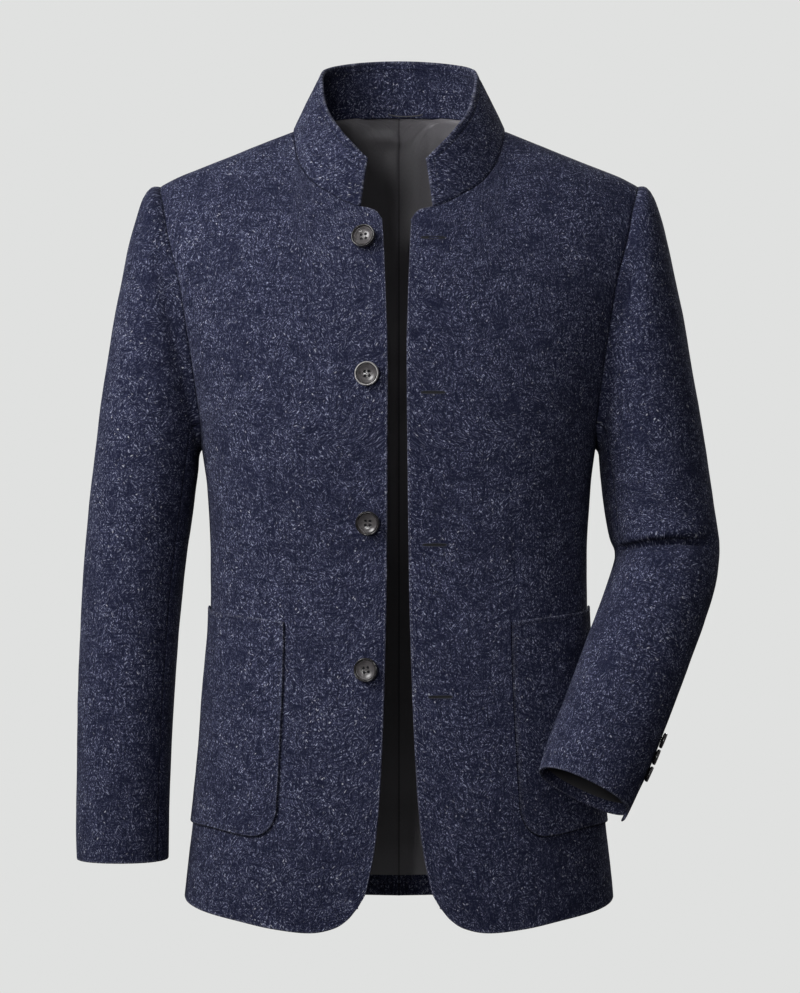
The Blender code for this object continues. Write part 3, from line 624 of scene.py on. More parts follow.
@dataclass(frozen=True)
class Crease:
    """A soft trough, or a ridge where its depth is negative, drawn as it is seen."""

    path: tuple[Pair, ...]
    depth: float
    width: float
    behind: bool = False
    fade: float = 0.25
    facing_share: float = 0.35

    def rise(self, panel: Panel) -> Array:
        """How far the crease moves each point of a panel outwards."""
        flat = panel.grid[..., [0, 2]]
        corners = np.array(self.path, float)
        lengths = norm(np.diff(corners, axis=0), axis=1)
        starts = np.concatenate([[0], np.cumsum(lengths)])
        nearest = np.full(flat.shape[:2], FAR)
        along = np.zeros(flat.shape[:2])
        for start, stop, length, before in zip(corners, corners[1:], lengths, starts):
            share = np.clip(((flat - start) @ (stop - start)) / length ** 2, 0, 1)
            away = norm(flat - start - share[..., None] * (stop - start), axis=-1)
            closer = away < nearest
            nearest = np.where(closer, away, nearest)
            along = np.where(closer, before + share * length, along)
        share = along / starts[-1]
        ends = smooth(share / self.fade) * smooth((1 - share) / self.fade)
        facing = panel.own_normals[..., 1] * (1 if self.behind else -1)
        ends = ends * smooth(facing / self.facing_share)
        return -self.depth * np.exp(-(nearest / self.width) ** 2) * ends


@dataclass(frozen=True)
class Undulation:
    """The cloth's own slight unevenness."""

    height: float = 0.55
    span: float = 60.0
    fine_height: float = 0.18
    fine_span: float = 17.0
    seed: float = 7.0

    def rise(self, panel: Panel) -> Array:
        """How far the unevenness moves each point of a panel outwards."""
        points = panel.grid.reshape(-1, 3)
        shift = Vector((self.seed, -self.seed, self.seed / 2))
        wide = [noise.noise(Vector(point) / self.span + shift) for point in points]
        fine = [noise.noise(Vector(point) / self.fine_span - shift) for point in points]
        rise = np.array(wide) * self.height + np.array(fine) * self.fine_height
        return rise.reshape(panel.grid.shape[:2])


@dataclass(frozen=True)
class EdgeGroove:
    """A groove that runs inside the folded edges, where they are stitched."""

    inset: float = 6.5
    depth: float = 0.5
    width: float = 1.3

    def rise(self, panel: Panel) -> Array:
        """How far the groove moves each point of a panel outwards."""
        away = panel.nearest(FOLD)
        return -self.depth * np.exp(-((away - self.inset) / self.width) ** 2)


UNEVEN = Undulation()


def creases(*rows: tuple, behind: bool = False) -> tuple[Crease, ...]:
    """Creases given as their paths, depths and widths, and their fades where they differ."""
    return tuple(Crease(path, depth, width, behind, *fade) for path, depth, width, *fade in rows)


# The folds that the front shows, and their like on the sides that it hides
ELBOW_FOLD = creases(
    (((203, -397), (219, -393.5), (238.5, -390.5), (259, -389.5), (279, -391.5), (291, -396)),
     6.6, 1.7, 0.1),
    (((205, -389), (219, -386.5), (238.5, -383.5), (259, -382.5), (279, -384.5), (290, -389)),
     -2.6, 4.2, 0.15),
    (((214, -415), (250, -404), (290, -410)), -1.2, 7))
LEFT_SLEEVE_FOLDS = ELBOW_FOLD + creases(
    (((199, -262), (222, -276), (244, -279)), 0.9, 8),
    (((200, -300), (226, -318), (252, -322)), 1.1, 9),
    (((262, -350), (288, -372), (299, -392)), 1, 6),
    (((212, -352), (248, -366), (286, -362)), 0.8, 8),
    (((196, -452), (222, -440), (252, -446)), 0.8, 7)) + creases(
    (((206, -372), (248, -392), (298, -384)), 2.2, 6),
    (((206, -398), (244, -416), (292, -412)), 1.8, 6),
    (((204, -330), (246, -345), (288, -336)), 1, 8), behind=True)
RIGHT_SLEEVE_FOLDS = creases(
    (((-199, -222), (-222, -233), (-252, -236)), 0.9, 8),
    (((-197, -262), (-224, -280), (-250, -283)), 0.9, 9),
    (((-206, -372), (-240, -394), (-268, -396)), 0.9, 9),
    (((-297, -352), (-272, -376), (-250, -380)), 0.8, 8),
    (((-216, -452), (-244, -466), (-276, -462)), 0.7, 9)) + creases(
    (((-206, -362), (-246, -384), (-290, -376)), 1.6, 8),
    (((-210, -400), (-250, -422), (-294, -412)), 1.4, 8),
    (((-212, -446), (-250, -462), (-296, -450)), 1, 9), behind=True)
FRONT_FOLDS = creases(
    (((-108, -352), (-110, -405), (-106, -455)), 0.45, 4),
    (((105, -352), (107, -405), (105, -458)), 0.6, 3.2),
    (((182, -300), (150, -330), (128, -380)), 0.8, 12),
    (((-182, -300), (-152, -332), (-130, -380)), 0.8, 12),
    (((172, -392), (140, -404), (96, -398)), 0.6, 11),
    (((-172, -396), (-136, -408), (-92, -400)), 0.6, 11))
BACK_FOLDS = creases(
    (((30, -330), (34, -410), (26, -500)), 1.3, 12),
    (((-34, -322), (-30, -400), (-38, -486)), 1.2, 11),
    (((176, -250), (140, -292), (92, -318)), 1.4, 11),
    (((-176, -252), (-138, -290), (-96, -322)), 1.3, 12),
    (((168, -372), (112, -396), (52, -390)), 1.2, 10),
    (((-168, -378), (-110, -392), (-56, -398)), 1.1, 11),
    (((70, 2), (0, -26), (-70, 2)), 0.8, 9), behind=True)
LINING_FOLDS = creases(
    (((-4.5, 12), (-3.5, -60), (-5, -160), (-4, -420)), 2.6, 3.2, 0.08),
    (((-13, 8), (-12, -30), (-14, -90)), -1.6, 4),
    (((11, 12), (13, -40), (16, -140)), 3.2, 3.4),
    (((23, 12), (21, -40), (19, -110)), 2.4, 3.2),
    (((38, 10), (36, -20), (35, -90)), 1.8, 3),
    (((-40, 16), (-34, 4), (-31, -12)), 2.8, 3),
    (((-50, 14), (-44, 4), (-42, -6)), 2.6, 2.8),
    (((28, 16), (37, 4), (48, -8)), 3.6, 3.2),
    (((-32, 4), (-18, -1), (-4, 2)), 3.4, 5.5, 0.2),
    (((-8, 6), (-3, -2), (2, -9)), 3.6, 3),
    (((4.5, -652), (4.5, -690), (4.5, -712)), 1.6, 1.6, 0.3),
    (((-18, -712), (-4, -680), (3, -664)), 1.2, 4),
    (((24, -712), (12, -684), (6, -668)), 1, 4),
    (((-7, -300), (-8, -470), (-6, -640)), 1.2, 6), behind=True)


# Panels of cloth


@dataclass
class Panel:
    """A piece of cloth: a shell on a grid of points, closed all round its rim."""

    name: str
    nodes: tuple[str, ...]
    grid: Array
    outward: int
    edges: dict[Border, Edge]
    thickness: float = 1.9
    tube: bool = False
    seam_draw: float = -0.03
    fold_draw: float = 0.45
    seam_sink: float = 0.8
    seam_reach: float = 1.5
    seam_blend: float = 7.0
    border_lines: tuple[float, ...] = (0.5, 1.2, 2.2, 3.6)
    line_room: float = 0.85
    line_limit: float = 0.9
    rim_steps: int = 4
    uv_shift: Pair = (0.0, 0.0)
    relief: tuple[Crease | Undulation | EdgeGroove, ...] = ()
    lined_beyond: float | None = None
    # How far from the folds a stitched groove runs; the wool is painted darker along it, as shade
    stitched: float | None = None
    # Borders that lie on other cloth and get the seams' painted shade line too, with the scale and
    # offset of the distance to them
    shaded_borders: tuple[Border, ...] = ()
    shade_pace: float = 1.8
    shade_clear: float = 0.35
    folded_columns: int = 0
    axis: tuple[Point, ...] = ()
    girth: float = 60.0
    bend_blend: float = 45.0
    seam_normals: dict[Border, Array] = field(default_factory=dict)

    def __post_init__(self) -> None:
        """Add the fine lines of points beside each border."""
        for border in self.edges:
            before = self.grid.shape[1]
            self.grid = self.with_lines(border)
            if border is START and self.folded_columns:
                self.folded_columns += self.grid.shape[1] - before
        self.own_normals = self.work_out_normals()

    def with_lines(self, border: Border) -> Array:
        """The grid with lines of points added beside a border, at small distances from it."""
        turned = from_border(self.grid, border)
        first, second = turned[:2]
        gap = norm(second - first, axis=1)
        lines = [first]
        for distance in self.border_lines:
            if distance < self.line_room * np.median(gap):
                share = np.minimum(distance / np.maximum(gap, TINY), self.line_limit)[:, None]
                lines.append(first * (1 - share) + second * share)
        turned = np.concatenate([np.array(lines), turned[1:]])
        turned = turned[::-1] if border in (HIGH, END) else turned
        return turned.swapaxes(0, 1) if border in (START, END) else turned

    def work_out_normals(self) -> Array:
        """The outward normal at each point of the grid."""
        if self.tube:
            along = np.roll(self.grid, -1, axis=1) - np.roll(self.grid, 1, axis=1)
        else:
            along = self.line_slopes(self.grid.swapaxes(0, 1)).swapaxes(0, 1)
        return unit(np.cross(along, self.line_slopes(self.grid))) * self.outward

    @staticmethod
    def line_slopes(grid: Array) -> Array:
        """The direction of the lines of points from row to row, by their true lengths."""
        steps = np.diff(grid, axis=0)
        lengths = np.maximum(norm(steps, axis=2, keepdims=True), TINY)
        slopes = steps / lengths
        before, after = lengths[:-1], lengths[1:]
        inner = (slopes[:-1] * after + slopes[1:] * before) / (before + after)
        return np.concatenate([slopes[:1], inner, slopes[-1:]])

    def distances(self) -> dict[Border, Array]:
        """How far each point is from each border, along the grid's lines."""
        rows = norm(np.diff(self.grid, axis=0), axis=2)
        columns = norm(np.diff(self.grid, axis=1), axis=2)
        up = np.concatenate([np.zeros((1, rows.shape[1])), np.cumsum(rows, axis=0)])
        across = np.cumsum(columns, axis=1)
        across = np.concatenate([np.zeros((len(across), 1)), across], axis=1)
        return {LOW: up, HIGH: up[-1:] - up, START: across, END: across[:, -1:] - across}

    def flat_places(self) -> Array:
        """Each point's place on the cloth laid flat, in millimetres."""
        distances = self.distances()
        across, up = distances[START], distances[LOW]
        across = across - across[:, across.shape[1] // 2][:, None]
        if self.axis:
            start, bend, stop = np.array(self.axis, float)
            first, second = unit(bend - start), unit(stop - bend)
            above, below = (self.grid - start) @ first, (self.grid - bend) @ second
            share = smooth(below / self.bend_blend / 2 + 0.5)
            up = above * (1 - share) + (below + norm(bend - start)) * share
            away = ((self.grid - start - above[..., None] * first) * (1 - share)[..., None]
                    + (self.grid - bend - below[..., None] * second) * share[..., None])
            middle = unit(away[:, away.shape[1] // 2].mean(axis=0))
            beside = unit(np.cross(first, middle))
            across = np.arctan2(away @ beside, away @ middle) * self.girth
        return np.stack([across + self.uv_shift[0], up + self.uv_shift[1]], axis=-1)

    def nearest(self, kind: Edge) -> Array:
        """How far each point is from the nearest border of a kind, in millimetres."""
        far = np.full(self.grid.shape[:2], FAR)
        distances = self.distances()
        for border, edge in self.edges.items():
            if border is HIGH and self.folded_columns:
                ours = np.arange(far.shape[1]) < self.folded_columns
                if edge is not kind:
                    ours = ours if kind is FOLD else np.zeros_like(ours)
                else:
                    ours = ~ours
                far = np.where(ours[None], np.minimum(far, distances[border]), far)
            elif edge is kind:
                far = np.minimum(far, distances[border])
        return far

    def skins(self) -> Line:
        """The outer and inner skins, with the seams sunk and the relief added."""
        normals = self.own_normals
        distances = self.distances()
        for border, shared in self.seam_normals.items():
            near = smooth(1 - distances[border] / self.seam_blend)[..., None]
            spread = shared[None] if border in (LOW, HIGH) else shared[:, None]
            normals = unit(normals * (1 - near) + spread * near)
        seam = self.nearest(SEAM)
        rise = -self.seam_sink * np.exp(-(seam / self.seam_reach) ** 2)
        for shape in self.relief:
            rise = rise + shape.rise(self)
        outer = self.grid + normals * rise[..., None]
        inner = outer - normals * self.thickness
        draw = {SEAM: self.seam_draw, FOLD: self.fold_draw, COVERED: 0.0}
        for border, edge in self.edges.items():
            for skin in (outer, inner):
                first, second = from_border(skin, border)[:2]
                first += unit(second - first) * draw[edge]
        self.outer, self.inner = outer, inner
        return outer, inner

    def inset_line(self, border: Border, inset: float, clear: float) -> Line:
        """A line on the outer skin that runs beside a border.

        Args:
            border: The border.
            inset: How far inside it the line runs.
            clear: How far it keeps from every other border.

        Returns:
            The line's points, and the outward normals there.
        """
        distances = self.distances()
        room = np.minimum.reduce([distances[other] for other in Border if other is not border])
        away, room, outer, outward = (from_border(values, border) for values in (
            distances[border], room, self.outer, self.own_normals))
        points, normals = [], []
        for k in range(away.shape[1]):
            at = away[:, k]
            if inset > at[-1]:
                continue
            i = int(np.clip(np.searchsorted(at, inset), 1, len(at) - 1))
            if room[i, k] < clear:
                continue
            share = (inset - at[i - 1]) / max(at[i] - at[i - 1], TINY)
            points.append(outer[i - 1, k] * (1 - share) + outer[i, k] * share)
            normals.append(outward[i, k])
        return np.array(points), np.array(normals)

    def rim_loops(self) -> list[Array]:
        """The loops of border points that the rim runs round."""
        at = np.stack(np.indices(self.grid.shape[:2]), axis=-1)
        if self.tube:
            return [at[0], at[-1, ::-1]]
        return [np.concatenate([at[0, :-1], at[:-1, -1], at[-1, :0:-1], at[:0:-1, 0]])]

    def rim_bulge(self, place: Array) -> Array:
        """How far the rim stands out from the border points of a loop."""
        away = np.zeros_like(self.outer)
        for border, edge in self.edges.items():
            first, second = from_border(self.outer, border)[:2]
            folded = np.full(len(first), edge is FOLD)
            if border is HIGH and self.folded_columns:
                folded[:self.folded_columns] = True
            from_border(away, border)[0] += np.where(folded[:, None], unit(first - second), 0)
        return unit(away[place[:, 0], place[:, 1]]) * self.thickness / 2

    def closed_mesh(self) -> Mesh:
        """Make the panel's closed mesh and dress it."""
        outer, inner = self.skins()
        rows, columns = outer.shape[:2]
        uv = self.flat_places()
        fold, seam = self.nearest(FOLD), self.nearest(SEAM)
        # Painted shade: borders that lie down on the cloth beneath are darkened like seams
        for border in self.shaded_borders:
            seam = np.minimum(seam, self.distances()[border] * self.shade_pace + self.shade_clear)
        stitch = np.full_like(fold, FAR) if self.stitched is None else np.abs(fold - self.stitched)
        marks = np.concatenate([uv, np.stack([fold, seam, stitch], axis=-1)], axis=-1)
        points = [outer.reshape(-1, 3), inner.reshape(-1, 3)]
        values = [marks.reshape(-1, 5), marks.reshape(-1, 5)]
        steps = columns if self.tube else columns - 1
        index = np.arange(rows * columns).reshape(rows, columns)
        r, c = np.meshgrid(np.arange(rows - 1), np.arange(steps), indexing="ij")
        right = (c + 1) % columns
        quad = (index[r, c], index[r, right], index[r + 1, right], index[r + 1, c])
        quad = np.stack(quad, axis=-1).reshape(-1, 4)[:, ::self.outward]
        inside = np.zeros(len(quad), int)
        if self.lined_beyond is not None:
            inside = (marks[..., 2][r, c].reshape(-1) > self.lined_beyond).astype(int)
        quads, kinds = [quad, quad[:, ::-1] + rows * columns], [np.zeros(len(quad), int), inside]
        for place in self.rim_loops():
            here, there = outer[place[:, 0], place[:, 1]], inner[place[:, 0], place[:, 1]]
            middle, half, bulge = (here + there) / 2, (here - there) / 2, self.rim_bulge(place)
            flat = place[:, 0] * columns + place[:, 1]
            loops = [flat]
            for k in range(1, self.rim_steps):
                turn = pi * k / self.rim_steps
                start = sum(len(block) for block in points)
                points.append(middle + half * cos(turn) + bulge * sin(turn))
                values.append(marks[place[:, 0], place[:, 1]])
                loops.append(start + np.arange(len(place)))
            loops.append(flat + rows * columns)
            for above, below in zip(loops, loops[1:]):
                rim = np.stack([above, below, np.roll(below, -1), np.roll(above, -1)], axis=-1)
                quads.append(rim[:, ::self.outward])
                kinds.append(np.zeros(len(rim), int))
        mesh = bpy.data.meshes.new(self.name)
        mesh.from_pydata((np.concatenate(points) * MM).tolist(), [], np.concatenate(quads).tolist())
        self.dress(mesh, np.concatenate(values) * MM, float(uv[..., 0].max()) * MM)
        mesh.polygons.foreach_set("material_index", np.concatenate(kinds))
        mesh.shade_smooth()
        return mesh

    def dress(self, mesh: Mesh, values: Array, girth: float) -> None:
        """Write the UV map in metres and the distances from folds and seams.

        Args:
            mesh: The panel's mesh.
            values: Each vertex's place on the cloth, and how far folds, seams and stitches are.
            girth: The width of the cloth, for the step where a tube closes.
        """
        layer = mesh.uv_layers.new(name="cloth")
        corners = np.zeros(len(mesh.loops), int)
        mesh.loops.foreach_get("vertex_index", corners)
        uvs = values[corners, :2]
        if self.tube:
            quads = uvs.reshape(-1, 4, 2)
            wraps = np.ptp(quads[..., 0], axis=1) > girth / 2
            quads[..., 0] += np.where(wraps[:, None] & (quads[..., 0] < girth / 2), girth, 0)
        layer.data.foreach_set("uv", uvs.ravel())
        for name, column in (("fold_away", 2), ("seam_away", 3), ("stitch_away", 4)):
            attribute = mesh.attributes.new(name, "FLOAT", "POINT")
            attribute.data.foreach_set("value", np.ascontiguousarray(values[:, column]))

    def make(self, materials: Sequence[Material], slot: Slot, *rests_on: str) -> None:
        """Build the panel, and log the size and area of its cut.

        Args:
            materials: The cloth, and the cloth of its inside where that differs.
            slot: The record's slot of its finish. Not used.
            rests_on: The pieces that it hangs on. Not used.
        """
        mesh, grid = self.closed_mesh(), self.grid * MM
        for material in materials:
            mesh.materials.append(material)
        piece = hand_over(in_scene(self.name, mesh), self.nodes)
        if self.tube:
            grid = np.concatenate([grid, grid[:, :1]], axis=1)
        width = norm(np.diff(grid, axis=1), axis=2).sum(axis=1).max()
        length = norm(np.diff(grid, axis=0), axis=2).sum(axis=0).max()
        diagonals = np.cross(grid[1:, 1:] - grid[:-1, :-1], grid[1:, :-1] - grid[:-1, 1:])
        area = float(norm(diagonals, axis=2).sum() / 2)
        LOG.info("%s: cut %.0f by %.0f mm, %.3f square metres",
                 self.name, width / MM, length / MM, area)


@dataclass
class SeamBook:
    """Gives panels that meet at a seam the same normals there, so that their walls mitre."""

    panels: list[Panel]
    reach: float = 2.6

    def share(self) -> None:
        """Work out the shared normals and give them to the panels."""
        lines = [(panel, border, from_border(panel.grid, border)[0],
                  from_border(panel.own_normals, border)[0])
                 for panel in self.panels for border, edge in panel.edges.items() if edge is SEAM]
        owners = [panel for panel, _, points, _ in lines for _ in points]
        points = np.concatenate([line[2] for line in lines])
        normals = np.concatenate([line[3] for line in lines])
        tree = kdtree.KDTree(len(points))
        for k, point in enumerate(points):
            tree.insert(point, k)
        tree.balance()
        for panel, border, own_points, own_normals in lines:
            shared = []
            for point, normal in zip(own_points, own_normals):
                total, met = normal.copy(), set()
                for _, k, _ in tree.find_range(point, self.reach):
                    if owners[k] is not panel and id(owners[k]) not in met:
                        met.add(id(owners[k]))
                        total += normals[k]
                shared.append(total)
            panel.seam_normals[border] = unit(np.array(shared))


def in_scene(name: str, data: bpy.types.ID) -> Object:
    """Make an object of some data and put it in the scene."""
    made = bpy.data.objects.new(name, data)
    bpy.context.scene.collection.objects.link(made)
    return made


def evaluated(piece: Object) -> Mesh:
    """The plain mesh that a piece's modifiers make."""
    view = bpy.context.evaluated_depsgraph_get()
    return bpy.data.meshes.new_from_object(piece.evaluated_get(view))


def hand_over(piece: Object, nodes: Sequence[str] = ()) -> Object:
    """Attach a finished piece to the body, and hide the CAD nodes that it stands for.

    Args:
        piece: The piece, at the origin.
        nodes: The CAD nodes that it stands for.

    Returns:
        The piece.
    """
    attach(piece, BODY)
    if nodes:
        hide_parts(*nodes)
    LOG.info("%s: %d faces", piece.name, len(piece.data.polygons))
    return piece


class Solid:
    """A closed mesh that is built up from loops of points."""

    def __init__(self) -> None:
        """Start with nothing."""
        self.shape = bmesh.new()

    def loop(self, points: Sequence[Sequence[float]]) -> Loop:
        """Add a loop of points, in metres."""
        return [self.shape.verts.new(point) for point in points]

    def join(self, *loops: Loop) -> None:
        """Join each loop to the next with faces, also to a loop of a single point."""
        for first, second in zip(loops, loops[1:]):
            count = max(len(first), len(second))
            for k in range(count):
                j = (k + 1) % count
                corners = (first[k % len(first)], first[j % len(first)],
                           second[j % len(second)], second[k % len(second)])
                self.shape.faces.new(tuple(dict.fromkeys(corners)))

    def bar(self, loops: Sequence[Loop]) -> None:
        """Join loops one after another, and close the first and the last."""
        self.join(*loops)
        for end in (loops[0], loops[-1]):
            self.shape.faces.new(end)

    def turn(self, profile: Sequence[Sequence[float]], steps: int) -> None:
        """Turn a profile of radii and heights, in metres, round Z."""
        round_z = circle(steps)
        self.join(*(self.loop([(*(place * radius), height) for place in round_z]) if radius
                    else self.loop([(0, 0, height)]) for radius, height in profile))

    def pin(self, middle: Sequence[float], radii: Pair, depth: float,
            sides: int) -> None:
        """Add an upright pin.

        Args:
            middle: Its middle, in metres.
            radii: Its radii below and above.
            depth: Its height.
            sides: How many sides it has.
        """
        made = bmesh.ops.create_cone(self.shape, cap_ends=True, segments=sides, radius1=radii[0],
                                     radius2=radii[1], depth=depth)
        bmesh.ops.translate(self.shape, verts=made["verts"], vec=middle)

    def finish(self, name: str, *materials: Material) -> Mesh:
        """Turn all faces outwards and make the mesh."""
        bmesh.ops.recalc_face_normals(self.shape, faces=self.shape.faces)
        mesh = bpy.data.meshes.new(name)
        self.shape.to_mesh(mesh)
        self.shape.free()
        for material in materials:
            mesh.materials.append(material)
        return mesh


# Node trees and stitches


@dataclass
class Wiring:
    """A short way to write a node tree."""

    tree: bpy.types.NodeTree

    def add(self, kind: str, settings: dict | None = None, **inputs: object) -> bpy.types.Node:
        """Add a node.

        Args:
            kind: The node's type, for a shader's node without its prefix.
            settings: Properties of the node.
            inputs: Values or sockets for its inputs, by name with _ for a space, or by i
                and a number.

        Returns:
            The node.
        """
        node = self.tree.nodes.new(kind if "Node" in kind else "ShaderNode" + kind)
        for key, value in (settings or {}).items():
            setattr(node, key, value)
        for key, value in inputs.items():
            key = int(key[1:]) if key[1:].isdigit() else key.replace("_", " ")
            self.put(node.inputs[key], value)
        return node

    def put(self, socket: Socket, value: object) -> None:
        """Link a socket, or set its value."""
        if isinstance(value, Socket):
            self.tree.links.new(value, socket)
        else:
            socket.default_value = value

    def math(self, operation: str, a: object, b: object = 0.0, clamp: bool = False) -> Socket:
        """Work out a number from one or two others."""
        return self.add("Math", {"operation": operation, "use_clamp": clamp}, i0=a, i1=b).outputs[0]


@dataclass
class StitchRow:
    """A row of stitches that geometry nodes lay along a line on the cloth."""

    name: str
    thread: Material
    pitch: float = 3.2
    length: float = 1.9
    radius: float = 0.26
    across: bool = False
    wander: float = 0.18
    seed: int = 3

    def tree(self) -> bpy.types.GeometryNodeTree:
        """Build the node tree that lays the stitches."""
        tree = bpy.data.node_groups.new(self.name + "_nodes", "GeometryNodeTree")
        face = tree.interface
        face.new_socket("Line", in_out="INPUT", socket_type="NodeSocketGeometry")
        for name in ("Pitch", "Stitch length", "Thread radius", "Wander"):
            face.new_socket(name, in_out="INPUT", socket_type="NodeSocketFloat")
        face.new_socket("Seed", in_out="INPUT", socket_type="NodeSocketInt")
        face.new_socket("Thread", in_out="INPUT", socket_type="NodeSocketMaterial")
        face.new_socket("Stitches", in_out="OUTPUT", socket_type="NodeSocketGeometry")
        wiring, axis = Wiring(tree), "Y" if self.across else "X"
        add = wiring.add
        source = add("NodeGroupInput").outputs
        curve = add("GeometryNodeMeshToCurve", i0=source["Line"]).outputs[0]
        spaced = add("GeometryNodeResampleCurve", {"mode": "LENGTH"}, Curve=curve,
                     Length=source["Pitch"])
        ball = add("GeometryNodeMeshUVSphere", Segments=6, Rings=4, Radius=0.5).outputs["Mesh"]
        width = wiring.math("MULTIPLY", source["Thread radius"], 2.0)
        sizes = add("CombineXYZ", i0=source["Stitch length"], i1=width, i2=width).outputs[0]
        stitch = add("GeometryNodeTransform", Geometry=ball, Scale=sizes).outputs[0]
        tangent = add("GeometryNodeInputTangent").outputs[0]
        outward = add("GeometryNodeInputNamedAttribute", {"data_type": "FLOAT_VECTOR"},
                      Name="outward")
        along = add("FunctionNodeAlignRotationToVector", {"axis": axis}, Vector=tangent).outputs[0]
        upright = add("FunctionNodeAlignRotationToVector", {"axis": "Z", "pivot_axis": axis},
                      Rotation=along, Vector=outward.outputs["Attribute"]).outputs[0]
        low, high = (wiring.math(way, 1.0, source["Wander"]) for way in ("SUBTRACT", "ADD"))
        chance = add("FunctionNodeRandomValue", {"data_type": "FLOAT"}, i2=low, i3=high,
                     Seed=source["Seed"]).outputs[1]
        laid = add("GeometryNodeInstanceOnPoints", Points=spaced.outputs[0], Instance=stitch,
                   Rotation=upright, Scale=chance).outputs[0]
        real = add("GeometryNodeRealizeInstances", i0=laid).outputs[0]
        shade = add("GeometryNodeSetShadeSmooth", i0=real).outputs[0]
        dress = add("GeometryNodeSetMaterial", Geometry=shade, Material=source["Thread"]).outputs[0]
        add("NodeGroupOutput", i0=dress)
        return tree

    def build(self, lines: Sequence[Line], sunk: float = 0.05) -> Object:
        """Lay the stitches along lines and hand them over as one plain mesh.

        Args:
            lines: Each line's points and the outward normals there, in millimetres.
            sunk: How far the thread's middle lies above the cloth, or below it if negative.

        Returns:
            The finished piece.
        """
        points, outward, edges = [], [], []
        for line, normals in lines:
            start = len(points)
            points += [tuple(point) for point in (line + normals * sunk) * MM]
            outward += [tuple(normal) for normal in normals]
            edges += [(start + k, start + k + 1) for k in range(len(line) - 1)]
        mesh = bpy.data.meshes.new(self.name)
        mesh.from_pydata(points, edges, [])
        attribute = mesh.attributes.new("outward", "FLOAT_VECTOR", "POINT")
        attribute.data.foreach_set("vector", np.array(outward).ravel())
        guide = in_scene(self.name, mesh)
        modifier = guide.modifiers.new("stitches", "NODES")
        tree = self.tree()
        modifier.node_group = tree
        values = {"Pitch": self.pitch * MM, "Stitch length": self.length * MM,
                  "Thread radius": self.radius * MM, "Wander": self.wander, "Seed": self.seed,
                  "Thread": self.thread}
        for socket in tree.interface.items_tree:
            if socket.in_out == "INPUT" and socket.name in values:
                modifier[socket.identifier] = values[socket.name]
        made = evaluated(guide)
        guide.modifiers.remove(modifier)
        made.name = self.name
        guide.data = made
        return hand_over(guide)


# Finishes


class Nodes(Wiring):
    """A short way to write a material's node tree."""

    def __init__(self, name: str) -> None:
        """Make the material with its shader."""
        self.material = bpy.data.materials.new(name)
        self.material.use_nodes = True
        super().__init__(self.material.node_tree)
        self.shader = self.tree.nodes["Principled BSDF"]

    def shade(self, **values: object) -> None:
        """Set or link the shader's own inputs, by name with _ for a space."""
        for key, value in values.items():
            self.put(self.shader.inputs[key.replace("_", " ")], value)

    def mix(self, share: object, a: object, b: object) -> Socket:
        """Mix two colours."""
        return self.add("Mix", {"data_type": "RGBA"}, i0=share, i6=a, i7=b).outputs[2]

    def tint(self, share: object, strength: float, colour: object, tint: Sequence[float]) -> Socket:
        """Lay a tint over a colour, by a share and a strength."""
        return self.mix(self.math("MULTIPLY", share, strength), colour, (*tint, 1))

    def blend(self, share: object, a: object, b: object) -> Socket:
        """Mix two numbers."""
        return self.add("Mix", {"data_type": "FLOAT"}, i0=share, i2=a, i3=b).outputs[0]

    def ramp(self, value: object, low: float, high: float) -> Socket:
        """Spread a stretch of a value smoothly over 0 to 1."""
        node = self.add("MapRange", {"interpolation_type": "SMOOTHSTEP"}, i0=value, i1=low, i2=high)
        return node.outputs[0]

    def attribute(self, name: str) -> Socket:
        """Read a mesh attribute's number."""
        return self.add("Attribute", {"attribute_name": name}).outputs["Fac"]

    def times(self, a: object, b: object) -> Socket:
        """Multiply two numbers."""
        return self.math("MULTIPLY", a, b)

    def noise(self, place: object, scale: float, detail: float, roughness: float = 0.5) -> Socket:
        """Plain noise, from 0 to 1."""
        node = self.add("TexNoise", Vector=place, Scale=scale, Detail=detail, Roughness=roughness)
        return node.outputs["Fac"]

    def bump(self, strength: float, distance: float, height: object, **more: object) -> Socket:
        """Normals that follow a height."""
        node = self.add("Bump", Strength=strength, Distance=distance, Height=height, **more)
        return node.outputs[0]

    def turned(self, place: object, angle: float, size: Sequence[float], shift: float) -> Socket:
        """A place, turned and shrunk so that what is drawn there is long in one direction."""
        return self.add("Mapping", {"vector_type": "TEXTURE"}, Vector=place,
                        Location=(shift, shift, 0), Rotation=(0, 0, radians(angle)),
                        Scale=(*size, 1.0)).outputs[0]

    def grain(self, place: object, angle: float, size: Pair, detail: float = 2.0,
              shift: float = 0.0) -> Socket:
        """Noise that is drawn out in one direction.

        Args:
            place: The place on the cloth, in metres.
            angle: The direction, in degrees.
            size: How long and how wide its marks are, in metres.
            detail: How much finer detail it has.
            shift: Moves it to another part of the noise.

        Returns:
            The noise, from 0 to 1.
        """
        return self.noise(self.turned(place, angle, size, shift), 1.0, detail, 0.55)


